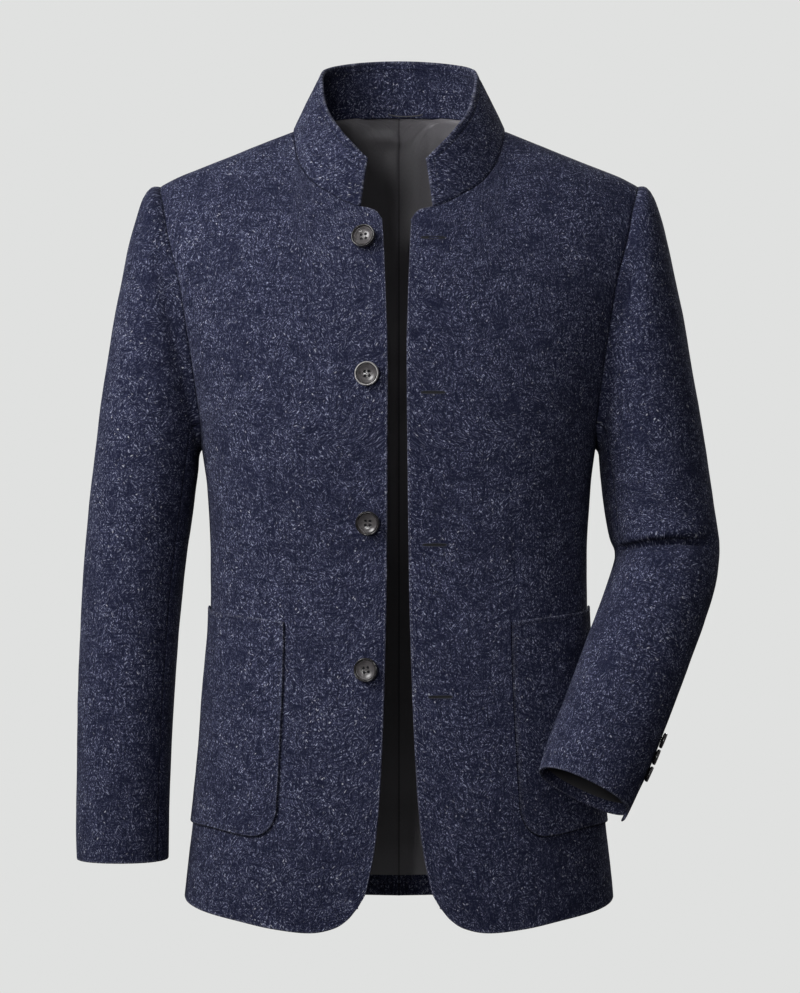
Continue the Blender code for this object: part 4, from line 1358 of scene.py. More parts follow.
@dataclass(frozen=True)
class MelangeWool:
    """Brushed melange wool: dark blue with pale short fibres in every direction."""

    name: str = "melange_wool"
    dark: Colour = (0.013, 0.015, 0.036)
    middle: Colour = (0.071, 0.077, 0.144)
    fibre: Colour = (0.400, 0.425, 0.570)
    fleck: Colour = (0.62, 0.63, 0.72)
    furrow_shade: Colour = (0.006, 0.007, 0.014)
    fibre_size: Pair = (0.0046, 0.00112)
    fibre_leans: tuple[Pair, ...] = ((57.0, 0.0), (-50.0, 3.1), (8.0, 5.7), (98.0, 9.2))
    strand: Pair = (0.41, 0.62)
    fine: Pair = (0.33, 0.67)
    strand_share: float = 0.55
    mottle_share: float = 0.9
    pale_strand: Pair = (0.51, 0.66)
    pale_fine: Pair = (0.38, 0.58)
    pale_cloud: Pair = (0.62, 1.12)
    dark_cloud: Pair = (0.62, 0.34)
    dark_pixel: Pair = (0.51, 0.38)
    dark_gap: Pair = (0.48, 0.37)
    dark_shares: Point = (0.36, 0.70, 0.80)
    block: float = 0.021
    block_leans: tuple[Pair, ...] = ((2.0, 0.017), (88.0, 0.015))
    fleck_size: Pair = (0.0062, 0.0028)
    fleck_leans: tuple[Pair, ...] = ((50.0, 0.013), (-44.0, 0.031))
    fleck_round: Pair = (0.24, 0.06)
    fleck_pick: Pair = (0.90, 1.0)
    fleck_crowd: Pair = (0.42, 0.62)
    worn_and_lit_edge: Pair = (0.0021, 0.0003)
    seam_shade_edge: Pair = (0.0013, 0.0)
    stitch_edge: Pair = (0.0010, 0.0002)
    roughness: float = 0.95
    sheen: float = 0.03

    def build(self) -> Material:
        """Make the material."""
        n = Nodes(self.name)
        flat = n.add("UVMap", {"uv_map": "cloth"}).outputs[0]
        drift = n.add("TexNoise", Vector=flat, Scale=120.0, Detail=1.0).outputs["Color"]
        bend = n.add("VectorMath", {"operation": "MULTIPLY_ADD"}, i0=drift, i1=(0.0045,) * 3,
                     i2=flat).outputs[0]
        fine = n.grain(bend, 35.0, (0.0021, 0.0014), shift=1.7)
        lean = self.fibres(n, flat, bend)
        strands = n.ramp(lean, *self.strand)
        mottle, cloud = n.noise(flat, 70.0, 2.0, 0.6), n.noise(flat, 24.0, 3.0, 0.6)
        base = n.math("ADD", n.times(strands, self.strand_share),
                      n.times(n.ramp(fine, *self.fine), 1 - self.strand_share))
        uneven = n.times(n.math("SUBTRACT", mottle, 0.5), self.mottle_share)
        base = n.math("ADD", base, uneven, clamp=True)
        pale = n.times(n.ramp(lean, *self.pale_strand), n.ramp(fine, *self.pale_fine))
        pale = n.times(pale, n.ramp(n.math("ADD", cloud, mottle), *self.pale_cloud))
        colour = n.mix(base, (*self.dark, 1), (*self.middle, 1))
        in_clouds, in_pixels, in_gaps = self.dark_shares
        colour = n.tint(n.ramp(cloud, *self.dark_cloud), in_clouds, colour, self.dark)
        colour = n.mix(pale, colour, (*self.fibre, 1))
        pixel = n.grain(flat, 20.0, (0.0017, 0.0014), detail=1.0, shift=21.0)
        colour = n.tint(n.ramp(pixel, *self.dark_pixel), in_pixels, colour, self.dark)
        weave = n.add("TexChecker", Vector=bend, Scale=1.0 / self.block).outputs["Fac"]
        first, second = (n.grain(flat, angle, (length, 0.0024), detail=1.0, shift=shift)
                         for (angle, length), shift in zip(self.block_leans, (12.0, 15.0)))
        gaps = n.blend(weave, first, second)
        colour = n.tint(n.ramp(gaps, *self.dark_gap), in_gaps, colour, self.dark)
        crowd = n.ramp(n.noise(flat, 33.0, 1.0), *self.fleck_crowd)
        for angle, shift in self.fleck_leans:
            spot = n.turned(bend, angle, self.fleck_size, shift)
            cells = n.add("TexVoronoi", {"voronoi_dimensions": "2D"}, Vector=spot,
                          Scale=1.0).outputs
            pick = n.add("SeparateColor", i0=cells["Color"]).outputs[0]
            mark = n.times(n.ramp(cells["Distance"], *self.fleck_round),
                           n.ramp(pick, *self.fleck_pick))
            colour = n.tint(n.times(mark, crowd), 0.9, colour, self.fleck)
        # Paler near the folded edges: partly the wear of pressed edges, partly a painted highlight
        # where the rolled edges catch the light
        worn_and_lit = n.times(n.ramp(n.attribute("fold_away"), *self.worn_and_lit_edge), n.ramp(fine, 0.45, 0.60))
        colour = n.tint(worn_and_lit, 0.12, colour, self.fleck)
        # Painted shade: the wool is darkened towards near black beside its seams, beside the
        # pockets' sewn-down borders and along the collar's stitched groove
        for name, edge, share in (("seam_away", self.seam_shade_edge, 0.75),
                                  ("stitch_away", self.stitch_edge, 0.6)):
            colour = n.tint(n.ramp(n.attribute(name), *edge), share, colour, self.furrow_shade)
        height = n.math("ADD", n.times(strands, 0.6), n.times(fine, 0.4))
        n.shade(Base_Color=colour, Normal=n.bump(0.6, 0.0008, height), Roughness=self.roughness,
                Sheen_Weight=self.sheen, Sheen_Roughness=0.45, Sheen_Tint=(0.8, 0.82, 1.0, 1),
                Specular_IOR_Level=0.06)
        return n.material

    def fibres(self, n: Nodes, flat: Socket, bend: Socket) -> Socket:
        """Fibres that lie in four directions, each in its own blots.

        Args:
            n: The material's nodes.
            flat: The place on the cloth.
            bend: That place, drawn slightly astray.

        Returns:
            The fibres' noise, from 0 to 1.
        """
        leans = [n.grain(bend, angle, self.fibre_size, shift=shift)
                 for angle, shift in self.fibre_leans]
        block, turn = n.noise(flat, 110.0, 0.0), n.noise(flat, 150.0, 0.0)
        lean = n.blend(n.ramp(block, 0.47, 0.53), leans[0], leans[1])
        cross = n.blend(n.ramp(block, 0.42, 0.58), leans[2], leans[3])
        return n.blend(n.ramp(turn, 0.56, 0.62), lean, cross)


@dataclass(frozen=True)
class SatinLining:
    """Dark grey satin with its fine weave and slight wrinkles."""

    name: str = "satin_lining"
    colour: Colour = (0.235, 0.226, 0.245)
    dark: Colour = (0.175, 0.168, 0.183)
    furrow_shade: Colour = (0.008, 0.008, 0.009)

    def build(self) -> Material:
        """Make the material."""
        n = Nodes(self.name)
        flat = n.add("UVMap", {"uv_map": "cloth"}).outputs[0]
        weave = n.grain(flat, 90.0, (0.0025, 0.0003), detail=1.0)
        cloud = n.noise(flat, 18.0, 2.0)
        wrinkle = n.grain(flat, 82.0, (0.09, 0.012), shift=2.0)
        share = n.math("ADD", n.times(weave, 0.5), n.times(cloud, 0.5))
        colour = n.mix(n.ramp(share, 0.35, 0.65), (*self.dark, 1), (*self.colour, 1))
        # Painted shade: the satin is darkened along its seams
        colour = n.tint(n.ramp(n.attribute("seam_away"), 0.0011, 0.0), 0.8, colour, self.furrow_shade)
        bump = n.bump(0.35, 0.004, wrinkle, Normal=n.bump(0.25, 0.0002, weave))
        n.shade(Base_Color=colour, Normal=bump, Roughness=n.blend(cloud, 0.34, 0.5),
                Sheen_Weight=0.2, Sheen_Roughness=0.3, Specular_IOR_Level=0.5)
        return n.material


@dataclass(frozen=True)
class PolishedHorn:
    """Dark polished horn with a faint grain."""

    name: str = "polished_horn"
    colour: Colour = (0.104, 0.096, 0.100)
    dark: Colour = (0.062, 0.056, 0.059)
    gloss: Pair = (0.27, 0.37)

    def build(self) -> Material:
        """Make the material."""
        n = Nodes(self.name)
        place = n.add("TexCoord").outputs["Object"]
        drawn = n.add("Mapping", Vector=place, Scale=(160, 160, 260)).outputs[0]
        grain, scratch = n.noise(drawn, 1.0, 4.0), n.noise(place, 2600.0, 2.0)
        colour = n.mix(n.ramp(grain, 0.35, 0.68), (*self.dark, 1), (*self.colour, 1))
        n.shade(Base_Color=colour, Roughness=n.blend(scratch, *self.gloss),
                Normal=n.bump(0.08, 0.0002, scratch), IOR=1.55, Coat_Weight=0.3, Coat_Roughness=0.2,
                Specular_IOR_Level=0.5)
        return n.material


@dataclass(frozen=True)
class Thread:
    """Twisted sewing thread."""

    name: str
    colour: Colour
    shine: float = 0.3
    sheen: float = 0.2
    lift: float = 1.6

    def build(self) -> Material:
        """Make the material."""
        n = Nodes(self.name)
        place = n.add("TexCoord").outputs["Object"]
        twist = n.noise(place, 3200.0, 1.0)
        light = tuple(value * self.lift for value in self.colour)
        colour = n.mix(twist, (*self.colour, 1), (*light, 1))
        n.shade(Base_Color=colour, Normal=n.bump(0.4, 0.0002, twist), Roughness=0.7,
                Specular_IOR_Level=self.shine, Sheen_Weight=self.sheen)
        return n.material


class Finishes:
    """The jacket's finishes, made once."""

    def __init__(self) -> None:
        """Make them all."""
        self.wool = MelangeWool().build()
        self.satin = SatinLining().build()
        # A much darker copy of the lining for inside the sleeves: painted shade, for the shadow
        # inside a sleeve
        self.shaded_sleeve_satin = SatinLining(
            "shaded_sleeve_satin", (0.050, 0.048, 0.053), (0.028, 0.027, 0.030)).build()
        self.horn = PolishedHorn().build()
        self.dark_horn = PolishedHorn(
            "dark_horn", (0.020, 0.018, 0.020), (0.009, 0.008, 0.009), (0.12, 0.18)).build()
        # A pale copy of the horn for one button's rim: a painted highlight
        self.highlight_horn = PolishedHorn("highlight_horn", (0.42, 0.41, 0.41), (0.24, 0.23, 0.23)).build()
        self.navy_thread = Thread("navy_thread", (0.018, 0.021, 0.040)).build()
        self.pale_thread = Thread("pale_thread", (0.30, 0.31, 0.40)).build()
        self.loop_thread = Thread("loop_thread", (0.060, 0.058, 0.060)).build()
        self.black_thread = Thread("black_thread", (0.006, 0.006, 0.008)).build()
        # Near-black thread without shine, for the painted shadow line beside the left pocket
        self.seam_thread = Thread("seam_thread", (0.0015, 0.0016, 0.004), 0.02, 0.0).build()


# Sub-assemblies


@dataclass
class Body:
    """The fronts, the backs and the back's lining."""

    finishes: Finishes
    cloth: float = 2.0
    lining_cloth: float = 0.8
    lining_gap: float = 0.9
    lining_sink: float = -0.3
    facing_cloth: float = 1.0
    inside_draw: float = -0.4
    front_facing_width: float = 75.0

    def cut(self) -> list[Panel]:
        """Cut the fronts and the backs."""
        self.fronts, self.backs, self.back_grids = {}, {}, {}
        for side in Side:
            self.fronts[side] = Panel(
                "front_wool_" + side.word, ("front_" + side.word,), CUTTING.front(side), side.value,
                borders(FOLD, SEAM, FOLD, SEAM), lined_beyond=self.front_facing_width,
                folded_columns=CUTTING.corner_columns * CUTTING.column_steps,
                relief=(UNEVEN, *FRONT_FOLDS), uv_shift=(900.0 * side.value, 0.0))
            self.back_grids[side] = CUTTING.back(side)
            self.backs[side] = Panel(
                "back_wool_" + side.word, ("back_" + side.word,), self.back_grids[side],
                -side.value, borders(SEAM, SEAM, FOLD, SEAM), relief=(UNEVEN, *BACK_FOLDS),
                uv_shift=(1700.0 * side.value, 0.0))
        return [*self.fronts.values(), *self.backs.values()]

    def build(self) -> None:
        """Make the body's panels on both sides."""
        wool, satin = self.finishes.wool, self.finishes.satin
        for side in Side:
            self.fronts[side].make([wool, satin], Slot.WOOL, "collar_wool")
            self.backs[side].make([wool], Slot.WOOL, "collar_wool")
            self.build_inside(side)

    def build_inside(self, side: Side) -> None:
        """Make the hem facing and the lining that show inside a half back."""
        grid, steps, back = self.back_grids[side], CUTTING.band_steps, "back_wool_" + side.word
        outward = Panel("", (), grid, -side.value, {}).own_normals
        inside = (grid - outward * (self.cloth + self.lining_gap))[:, :-2]
        Panel("back_hem_wool_" + side.word, ("back_hem_facing_" + side.word,), inside[:steps + 1],
              -side.value, borders(SEAM, COVERED, COVERED, FOLD),
              thickness=self.facing_cloth, seam_sink=0.0, seam_draw=self.inside_draw,
              relief=(UNEVEN,),
              uv_shift=(300.0, 2100.0)).make([self.finishes.wool], Slot.WOOL, back)
        Panel("back_lining_satin_" + side.word, ("back_lining_" + side.word,), inside[steps:],
              -side.value, borders(SEAM, COVERED, COVERED, COVERED),
              thickness=self.lining_cloth, seam_sink=self.lining_sink, seam_draw=self.inside_draw,
              relief=(UNEVEN, *LINING_FOLDS)).make([self.finishes.satin], Slot.SATIN, back)


@dataclass
class Collar:
    """The standing collar, and the small loop at its back."""

    finishes: Finishes
    cloth: float = 3.8
    loop_ends: Pair = (-10.5, 22.8)
    loop_sag: float = 2.4
    loop_rise: float = 1.2
    loop_radius: float = 0.6
    loop_roundness: float = 0.6
    loop_flatness: float = 0.5
    loop_row: int = 3
    loop_steps: int = 24
    loop_sides: int = 8

    def cut(self) -> list[Panel]:
        """Cut the collar's band."""
        self.band = Panel(
            "collar_wool", ("collar",), CUTTING.collar(), -1,
            borders(FOLD, FOLD, SEAM, FOLD), thickness=self.cloth, seam_reach=1.4, rim_steps=6,
            relief=(UNEVEN, EdgeGroove(depth=0.8, width=1.1)), uv_shift=(0.0, 3300.0), stitched=6.5)
        return [self.band]

    def build(self) -> None:
        """Make the collar."""
        self.band.make([self.finishes.wool], Slot.WOOL, "front_wool_right", "front_wool_left")
        self.build_loop()

    def build_loop(self) -> None:
        """Make the small flat loop that is sewn inside the back neck."""
        inner, normals = self.band.inner[self.loop_row], self.band.own_normals[self.loop_row]
        order = np.argsort(inner[:, 0])
        xs = np.linspace(*self.loop_ends, self.loop_steps + 1)
        path, ways = (
            np.stack([np.interp(xs, inner[order, 0], column) for column in values[order].T], axis=1)
            for values in (inner, normals))
        share = np.linspace(0, 1, self.loop_steps + 1)
        ways = unit(ways)
        path = path - ways * self.loop_radius
        path[:, 2] -= self.loop_sag * np.sin(np.pi * share) ** self.loop_roundness - self.loop_rise
        solid, up = Solid(), np.array([0, 0, 1])
        turns = circle(self.loop_sides) * self.loop_radius
        loops = [solid.loop((point + way * self.loop_flatness * across + up * along) * MM
                            for across, along in turns) for point, way in zip(path, ways)]
        solid.bar(loops)
        mesh = solid.finish("neck_loop", self.finishes.loop_thread)
        mesh.shade_smooth()
        hand_over(in_scene("neck_loop", mesh))


@dataclass
class Pockets:
    """The two patch pockets."""

    finishes: Finishes
    laid_gap: float = 0.25
    cloth: float = 2.4
    groove: EdgeGroove = EdgeGroove(inset=3.2, depth=0.3, width=1.0)

    def build(self) -> list[Panel]:
        """Make both pockets from the fronts' points moved out."""
        patches = []
        for side in Side:
            grid = CUTTING.pocket(side)
            normals = Panel("", (), grid, side.value, {}).own_normals
            patch = Panel(
                "pocket_wool_" + side.word, ("pocket_" + side.word,),
                grid + normals * (self.laid_gap + self.cloth), side.value,
                borders(FOLD, FOLD, FOLD, FOLD), thickness=self.cloth,
                relief=(UNEVEN, *FRONT_FOLDS, self.groove),
                uv_shift=(2500.0, 400.0 * side.value), shaded_borders=(START, LOW))
            patch.make([self.finishes.wool], Slot.WOOL, "front_wool_" + side.word)
            patches.append(patch)
        return patches


@dataclass
class Sleeve:
    """A two-piece sleeve, with the facing and the lining that show in its cuff."""

    side: Side
    table: Table
    finishes: Finishes
    folds: tuple[Crease, ...]
    axis: tuple[Point, ...]
    fold_rings: tuple[int, int] = (0, 0)
    front_seam: int = 8
    back_seam: int = 17
    vent_drop: float = 2.0
    cloth: float = 2.0
    inner_cloth: float = 0.9
    laid_gap: float = 0.8
    facing_rings: int = 1
    lining_rings: int = 2
    facing_cut_short: float = 0.5

    def cut(self) -> list[Panel]:
        """Cut the top and under sleeves."""
        self.rings, self.marks = CUTTING.sleeve(self.table, self.side, self.fold_rings)
        rings, marks = self.rings, self.marks
        word, sign, steps = self.side.word, self.side.value, CUTTING.station_steps
        last_gap = marks[-1] - marks[-2]
        start, stop = self.back_seam * steps, (self.front_seam + CUTTING.stations) * steps
        top = rings[:, np.arange(start, stop + 1) % rings.shape[1]]
        drop, near = np.linspace(0, 1, last_gap + 1)[:, None], np.linspace(1, 0, steps + 1)[None]
        along = unit(rings[-1] - rings[-2])[start % rings.shape[1]]
        top[-last_gap - 1:, :steps + 1] += along * (drop * near * self.vent_drop)[..., None]
        under = rings[:, self.front_seam * steps:start + 1]
        self.panels = [
            Panel(f"sleeve_{part}_wool_{word}", (f"sleeve_{part}_{word}",), grid, sign,
                  borders(SEAM, SEAM, SEAM, FOLD), relief=(UNEVEN, *self.folds),
                  uv_shift=(shift, 500.0 * sign), axis=self.axis)
            for part, grid, shift in (("top", top, 4100.0), ("under", under, 4900.0))]
        return self.panels

    def build(self) -> None:
        """Make the sleeve's panels."""
        word, sign = self.side.word, self.side.value
        for panel in self.panels:
            panel.make([self.finishes.wool], Slot.WOOL, "front_wool_" + word, "back_wool_" + word)
        rings, marks = self.rings, self.marks
        normals = Panel("", (), rings, sign, {}, tube=True).own_normals
        inside = rings - normals * (self.cloth + self.laid_gap)
        low, high = marks[-1 - self.facing_rings], marks[-1 - self.facing_rings - self.lining_rings]
        low += int((marks[-1] - low) * self.facing_cut_short)
        # The sleeve lining takes the darker copy of the satin, which paints the shade inside the
        # sleeve
        wool, satin = self.finishes.wool, self.finishes.shaded_sleeve_satin
        facing, lining = inside[low:], inside[high:low + 1]
        for name, node, grid, finish, slot in (
                ("cuff_facing_wool_", "cuff_facing_", facing, wool, Slot.WOOL),
                ("sleeve_lining_satin_", "sleeve_lining_", lining, satin, Slot.SATIN)):
            Panel(name + word, (node + word,), grid, sign, {LOW: COVERED, HIGH: COVERED},
                  thickness=self.inner_cloth, tube=True,
                  relief=(UNEVEN,)).make([finish], slot, "sleeve_top_wool_" + word)


@dataclass
class Sewing:
    """The stitches along the edges and the four buttonholes."""

    finishes: Finishes
    body: Body
    collar: Collar
    patches: list[Panel]
    edge_inset: float = 1.5
    edge_clear: float = 6.0
    pocket_inset: float = 3.2
    top_clear: float = 1.0
    collar_inset: float = 6.5
    shadow_line_offset: float = 1.3
    hole_half: float = 11.4
    hole_width: float = 1.4
    hole_squareness: float = 0.35
    hole_lift: float = 0.25
    slit_loops: tuple[Pair, ...] = ((1.0, -0.8), (1.0, 0.35), (0.55, 0.30))
    hole_steps: int = 24
    hole_places: tuple[Pair, ...] = (
        (33.3, -110.0), (32.6, -252.9), (33.6, -392.3), (38.5, -531.7))

    def build(self) -> None:
        """Lay all the stitches."""
        dark = self.finishes.navy_thread
        lines = [front.inset_line(START, self.edge_inset, self.edge_clear)
                 for front in self.body.fronts.values()]
        StitchRow("edge_stitches", self.finishes.pale_thread, 4.6, 1.5, 0.3).build(lines, -0.05)
        lines = [self.collar.band.inset_line(border, self.collar_inset, self.collar_inset)
                 for border in (START, END, HIGH)]
        StitchRow("collar_stitches", dark, 3.1).build(lines)
        lines = [patch.inset_line(border, self.pocket_inset, self.pocket_inset)
                 for patch in self.patches for border in (START, LOW)]
        lines += [patch.inset_line(HIGH, self.pocket_inset, self.top_clear)
                  for patch in self.patches]
        StitchRow("pocket_stitches", dark, 3.1).build(lines)
        # Painted shadow: a near-black row of thread in the crook just outside the left pocket's
        # inner and bottom borders
        lines = [self.beside(self.patches[-1], border) for border in (START, LOW)]
        StitchRow("pocket_shadow_line_left", self.finishes.seam_thread, 2.2, 2.4, 0.55).build(lines, 0.0)
        holes = [on_front(self.hole_outline(x, z), Side.LEFT) for x, z in self.hole_places]
        ring = StitchRow("buttonhole_stitches", dark, 0.75, 0.6, 0.62, across=True)
        ring.build(holes, self.hole_lift)
        # Black sheets in the slits paint the shade inside the buttonholes
        self.slit(holes)

    def beside(self, patch: Panel, border: Border) -> Line:
        """The line on the front just outside a pocket's border, and the normals there."""
        rim, within = from_border(patch.inner, border)[:2]
        line = rim + unit(rim - within) * self.shadow_line_offset
        return line, from_border(patch.own_normals, border)[0]

    def hole_outline(self, x: float, z: float) -> Array:
        """The closed outline of a buttonhole, as the front shows it."""
        turn = 2 * np.pi * np.arange(self.hole_steps + 1) / self.hole_steps
        reach = np.copysign(np.abs(np.cos(turn)) ** self.hole_squareness, np.cos(turn))
        return np.stack([x + self.hole_half * reach, z + self.hole_width * np.sin(turn)], axis=1)

    def slit(self, holes: Sequence[Line]) -> None:
        """Lay a black sheet into each buttonhole's slit: painted shade in the opening."""
        solid = Solid()
        for points, normals in holes:
            points, normals = points[:-1], normals[:-1]
            middle = points.mean(axis=0)
            loops = [solid.loop((middle + (points - middle) * share + normals * lift) * MM)
                     for share, lift in self.slit_loops]
            solid.bar(loops)
        mesh = solid.finish("buttonhole_slit_shade", self.finishes.black_thread)
        hand_over(in_scene("buttonhole_slit_shade", mesh))


def on_front(outline: Array, side: Side) -> Line:
    """Lay an outline, drawn as the front shows it, on a front.

    Args:
        outline: Its places, x from the middle and z.
        side: The front.

    Returns:
        The points on the cloth, and the outward normals there.
    """
    points, beside, above = (
        FORM.placed(FORM.point(FORM.chart(outline + np.array(step))), side)
        for step in ((0, 0), (1, 0), (0, 1)))
    normals = unit(np.cross(above - points, beside - points))
    return points, normals * -np.sign(normals[:, 1:2])


@dataclass
class Buttons:
    """The four front buttons and the three on each cuff, sewn on with thread."""

    finishes: Finishes
    radius: float = 11.3
    cuff_radius: float = 7.5
    gap: float = 0.7
    cuff_gap: float = 0.8
    cuff_first: float = 38.0
    cuff_pitch: float = 17.5
    cuff_inset: float = 14.0
    hole_radius: float = 0.125
    hole_offset: float = 0.180
    rim_start: float = 0.87
    rim_low: float = 0.30
    sharp_from: float = 38.0
    strand_top: float = 0.07
    strand_root: float = 0.3
    strand_shares: Pair = (0.8, 0.7)
    tilt_sunk: float = 0.6
    cuff_turn: float = 20.0
    steps: int = 64
    strand_sides: int = 8
    hole_steps: int = 14
    turns: tuple[float, ...] = (6.0, 4.0, -3.0, 8.0)
    tilts: tuple[float, ...] = (12.0, 8.0, 7.0, 11.0)
    highlight_rimmed: int = 2
    profile: Table = Table(("radius", "height"), (
        (0, 0.120), (0.30, 0.135), (0.55, 0.200), (0.70, 0.285), (0.765, 0.325), (0.80, 0.240),
        (0.835, 0.240), (0.865, 0.400), (0.92, 0.435), (0.97, 0.405), (1, 0.29), (0.985, 0.15),
        (0.93, 0.06), (0.80, 0), (0.50, 0), (0, 0)))

    def blank(self, name: str, radius: float, dish: Material, rim: Material) -> Mesh:
        """Turn a button and drill its four holes.

        Args:
            name: The mesh's name.
            radius: The button's radius.
            dish: What the button is made of.
            rim: The horn of its rim, darker or paler than the dish; the pale copy paints a
                highlight.

        Returns:
            The mesh, its back at the origin and its face along Z.
        """
        half = curve_through(self.profile.points(), [3] * (len(self.profile.rows) - 1))
        half[:, 0] = np.clip(half[:, 0], 0, 1)
        half[0, 0] = half[-1, 0] = 0
        size, places = radius * MM, self.hole_places(radius)
        hole = self.hole_radius * size
        solid, drill = Solid(), Solid()
        solid.turn(half * size, self.steps)
        for place in places:
            drill.pin((*place, 0), (hole, hole), size, self.hole_steps)
        turned = in_scene(name, solid.finish(name))
        drilled = in_scene(name + "_drill", drill.finish(name + "_drill"))
        cut = turned.modifiers.new("holes", "BOOLEAN")
        cut.operation, cut.solver, cut.object = "DIFFERENCE", "EXACT", drilled
        mesh = evaluated(turned)
        for made in (turned, drilled):
            bpy.data.objects.remove(made)
        mesh.shade_smooth()
        mesh.set_sharp_from_angle(angle=radians(self.sharp_from))
        mesh.materials.clear()
        for material in (dish, rim, self.finishes.black_thread):
            mesh.materials.append(material)
        for face in mesh.polygons:
            across, height = face.center.xy, face.center.z
            on_rim = across.length > self.rim_start * size and height > self.rim_low * size
            face.material_index = int(on_rim)
            # Painted shade: the holes' walls take the black thread's material, so the holes read
            # dark
            if min((across - Vector(place)).length for place in places) < hole:
                face.material_index = 2
        return mesh

    def hole_places(self, radius: float) -> list[Pair]:
        """The middles of a button's four holes, in metres."""
        offset = self.hole_offset * radius * MM
        return [(x * offset, y * offset) for x in (-1, 1) for y in (-1, 1)]

    def thread_mesh(self, name: str, radius: float, gap: float) -> Mesh:
        """The thread in a button's holes and under it.

        Args:
            name: The mesh's name.
            radius: The button's radius.
            gap: How far the button stands off the cloth.

        Returns:
            The mesh, in the button's own axes.
        """
        solid, size = Solid(), radius * MM
        top, low = self.strand_top * size, (gap + self.strand_root) * MM
        radii = tuple(self.hole_radius * size * share for share in self.strand_shares)
        for place in self.hole_places(radius):
            solid.pin((*place, (top - low) / 2), radii, top + low, self.strand_sides)
        return solid.finish(name, self.finishes.black_thread)

    def sew_on(self, name: str, node: str, blank: Mesh, thread: Mesh,
               point: Array, normal: Array, turn: float, tilt: float = 0.0) -> None:
        """Put a button and its thread on the cloth.

        Args:
            name: The piece's name.
            node: The CAD node that it stands for.
            blank: The button's mesh.
            thread: Its thread's mesh.
            point: The middle of its back.
            normal: The way that it faces.
            turn: How far it is turned, in degrees.
            tilt: How far its face leans to the wearer's right, in degrees.
        """
        facing = Vector(normal).to_track_quat("Z", "Y").to_matrix().to_4x4()
        lean = Matrix.Rotation(-radians(tilt), 4, "Y")
        spin = Matrix.Rotation(radians(turn), 4, "Z")
        place = Matrix.Translation(Vector(point * MM)) @ facing @ lean @ spin
        for source, piece_name, slot, nodes in ((blank, name, Slot.HORN, (node,)),
                                                (thread, name + "_thread", Slot.WOOL, ())):
            mesh = source.copy()
            mesh.name = piece_name
            mesh.transform(place)
            hand_over(in_scene(piece_name, mesh), nodes)

    def build(self, sleeves: Sequence[Sleeve]) -> None:
        """Make all the buttons."""
        # The second blank has its rim painted pale, as a highlight
        blanks = [self.blank("front_button_blank", self.radius, self.finishes.horn, rim)
                  for rim in (self.finishes.dark_horn, self.finishes.highlight_horn)]
        places = on_front(BUTTON_PLACES.points(), Side.RIGHT)
        for k, (point, normal, turn, tilt) in enumerate(zip(*places, self.turns, self.tilts), 1):
            gap = self.gap + max(self.radius * sin(radians(tilt)) - self.tilt_sunk, 0)
            thread = self.thread_mesh("front_button_thread", self.radius, gap)
            self.sew_on(f"front_button_{k}", f"button_{k}", blanks[k == self.highlight_rimmed], thread,
                        point + normal * gap, normal, turn, tilt)
        blank = self.blank("cuff_button_blank", self.cuff_radius, self.finishes.dark_horn,
                           self.finishes.horn)
        thread = self.thread_mesh("cuff_button_thread", self.cuff_radius, self.cuff_gap)
        for sleeve in sleeves:
            self.add_cuff_buttons(sleeve, blank, thread)

    def add_cuff_buttons(self, sleeve: Sleeve, blank: Mesh, thread: Mesh) -> None:
        """Sew three buttons up the edge of a cuff's vent."""
        seam, steps = sleeve.back_seam, CUTTING.station_steps
        rings = sleeve.rings[sleeve.marks][::-1]
        edge, beside = rings[:, seam * steps], rings[:, (seam + 1) * steps % rings.shape[1]]
        for k in range(3):
            height, i = self.cuff_first + self.cuff_pitch * k, 0
            while height > norm(edge[i + 1] - edge[i]):
                height -= norm(edge[i + 1] - edge[i])
                i += 1
            share = height / norm(edge[i + 1] - edge[i])
            start = edge[i] * (1 - share) + edge[i + 1] * share
            toward = unit(beside[i] * (1 - share) + beside[i + 1] * share - start)
            normal = unit(np.cross(edge[i + 1] - edge[i], toward))
            middle = rings[i].mean(axis=0)
            if normal @ (start - middle) < 0:
                normal = -normal
            point = start + toward * self.cuff_inset + normal * self.cuff_gap
            name = f"{sleeve.side.word}_{k + 1}"
            self.sew_on("cuff_horn_" + name, "cuff_button_" + name, blank, thread, point, normal,
                        self.cuff_turn * k)


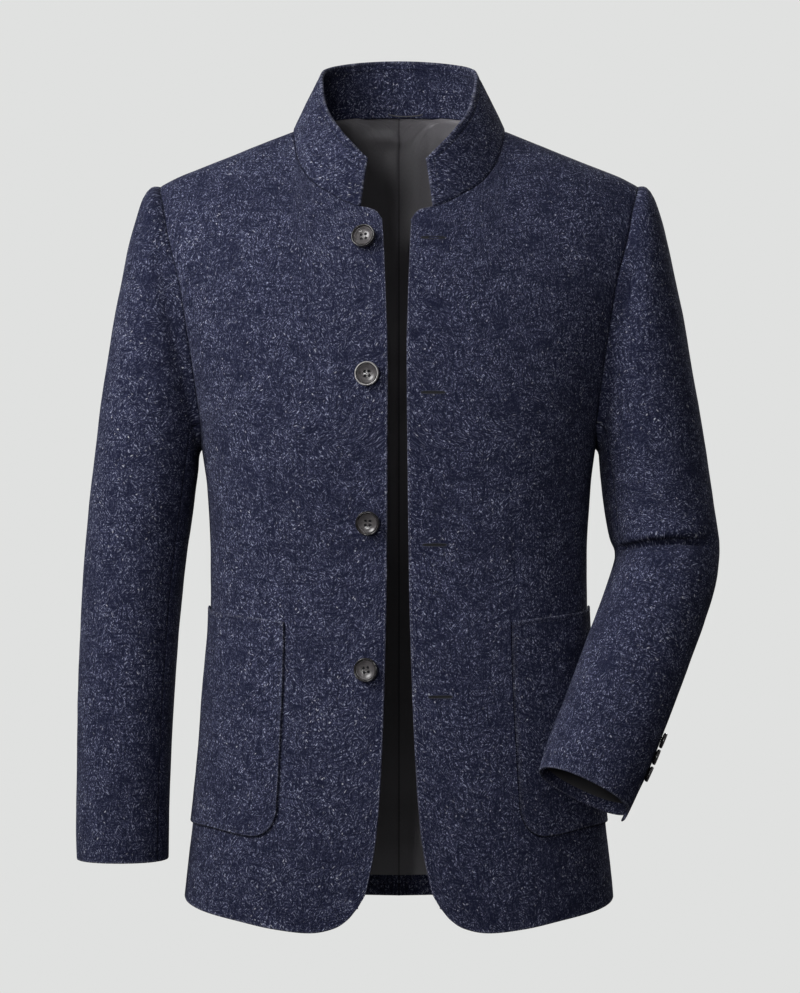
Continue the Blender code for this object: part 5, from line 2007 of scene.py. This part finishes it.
@dataclass
class Studio:
    """The camera, the soft light and the pale floor."""

    camera_place: Point = (0.00095, -3.2, -0.348)
    view_height: float = 0.94335
    pale: Colour = (0.745, 0.752, 0.745)
    floor_z: float = -2.6
    floor_radius: float = 7.0
    sweep_radius: float = 3.0
    wall_height: float = 14.0
    sweep_steps: int = 8
    steps: int = 48
    target: Point = (0.0, 0.0, -0.35)
    bright_side: Point = (-0.45, 0.0, 0.85)
    bright_range: tuple[float, float, float, float] = (-0.7, 0.8, 0.04, 0.36)

    def build(self) -> None:
        """Make the studio round the jacket."""
        self.add_camera()
        self.add_floor()
        self.add_light("key", (-1.55, -1.2, 0.85), 1.0, 38.5)
        self.add_light("front", (-0.66, -3.1, 0.12), 0.5, 0.5, 24.0)
        self.add_light("rear", (1.1, 2.6, 1.0), 1.4, 34)
        self.add_light("glint", (-0.15, -2.5, 1.75), 0.4, 1.4)
        self.add_light("top", (-0.2, -0.3, 2.2), 1.4, 4)
        world = bpy.context.scene.world or bpy.data.worlds.new("studio")
        bpy.context.scene.world = world
        world.use_nodes = True
        wiring, background = Wiring(world.node_tree), world.node_tree.nodes["Background"]
        way = wiring.add("TexCoord").outputs["Generated"]
        slope = wiring.add("VectorMath", {"operation": "DOT_PRODUCT"}, i0=way, i1=self.bright_side)
        low, high, dim, bright = self.bright_range
        spread = wiring.add("MapRange", i0=slope.outputs["Value"], i1=low, i2=high, i3=dim,
                            i4=bright)
        wiring.put(background.inputs["Color"], (*self.pale, 1))
        wiring.put(background.inputs["Strength"], spread.outputs[0])
        bpy.context.scene.view_settings.view_transform = "Standard"

    def add_camera(self) -> None:
        """Put the camera where the picture was taken from."""
        data = bpy.data.cameras.new("camera")
        data.sensor_fit = "VERTICAL"
        data.sensor_height = 36.0
        data.lens = data.sensor_height * -self.camera_place[1] / self.view_height
        camera = in_scene("camera", data)
        camera.location = self.camera_place
        camera.rotation_euler = (radians(90), 0, 0)
        bpy.context.scene.camera = camera

    def add_light(self, name: str, place: Point, size: float, power: float,
                  spread: float = 180.0) -> None:
        """Add a soft light that points at the jacket's chest.

        Args:
            name: The light's name.
            place: Where it hangs, in metres.
            size: How wide it is, in metres.
            power: Its power, in watts.
            spread: How wide its beam is, in degrees.
        """
        data = bpy.data.lights.new(name, "AREA")
        data.size = size
        data.energy = power
        data.spread = radians(spread)
        light = in_scene(name, data)
        light.location = place
        light.rotation_mode = "QUATERNION"
        aim = Vector(self.target) - Vector(place)
        light.rotation_quaternion = aim.to_track_quat("-Z", "Y")

    def add_floor(self) -> None:
        """Add the pale floor, which sweeps up into a wall all round."""
        turns = np.linspace(0, np.pi / 2, self.sweep_steps + 1)
        profile = [(0.0, self.floor_z)]
        profile += [(self.floor_radius + self.sweep_radius * sin(turn),
                     self.floor_z + self.sweep_radius * (1 - cos(turn))) for turn in turns]
        profile.append((self.floor_radius + self.sweep_radius, self.floor_z + self.wall_height))
        solid = Solid()
        solid.turn(profile, self.steps)
        mesh = solid.finish("floor")
        mesh.shade_smooth()
        n = Nodes("pale_floor")
        n.shade(Base_Color=(0.0, 0.0, 0.0, 1), Specular_IOR_Level=0.0, Roughness=1.0,
                Emission_Color=(*self.pale, 1), Emission_Strength=1.0)
        mesh.materials.append(n.material)
        floor = in_scene("floor", mesh)
        for rays in ("diffuse", "glossy", "transmission", "volume_scatter", "shadow"):
            setattr(floor, "visible_" + rays, False)


def main() -> None:
    """Build the jacket's looks in order."""
    logging.basicConfig(level=logging.INFO, format="%(name)s: %(message)s")
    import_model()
    finishes = Finishes()
    body, collar = Body(finishes), Collar(finishes)
    sleeves = [Sleeve(Side.RIGHT, RIGHT_SLEEVE, finishes, RIGHT_SLEEVE_FOLDS, RIGHT_AXIS),
               Sleeve(Side.LEFT, LEFT_SLEEVE, finishes, LEFT_SLEEVE_FOLDS, LEFT_AXIS,
                      fold_rings=(10, 13), back_seam=18, vent_drop=8.0)]
    cut = [panel for maker in (body, collar, *sleeves) for panel in maker.cut()]
    SeamBook(cut).share()
    for maker in (body, collar, *sleeves):
        maker.build()
    patches = Pockets(finishes).build()
    Sewing(finishes, body, collar, patches).build()
    Buttons(finishes).build(sleeves)
    Studio().build()


if __name__ == "__main__":
    main()
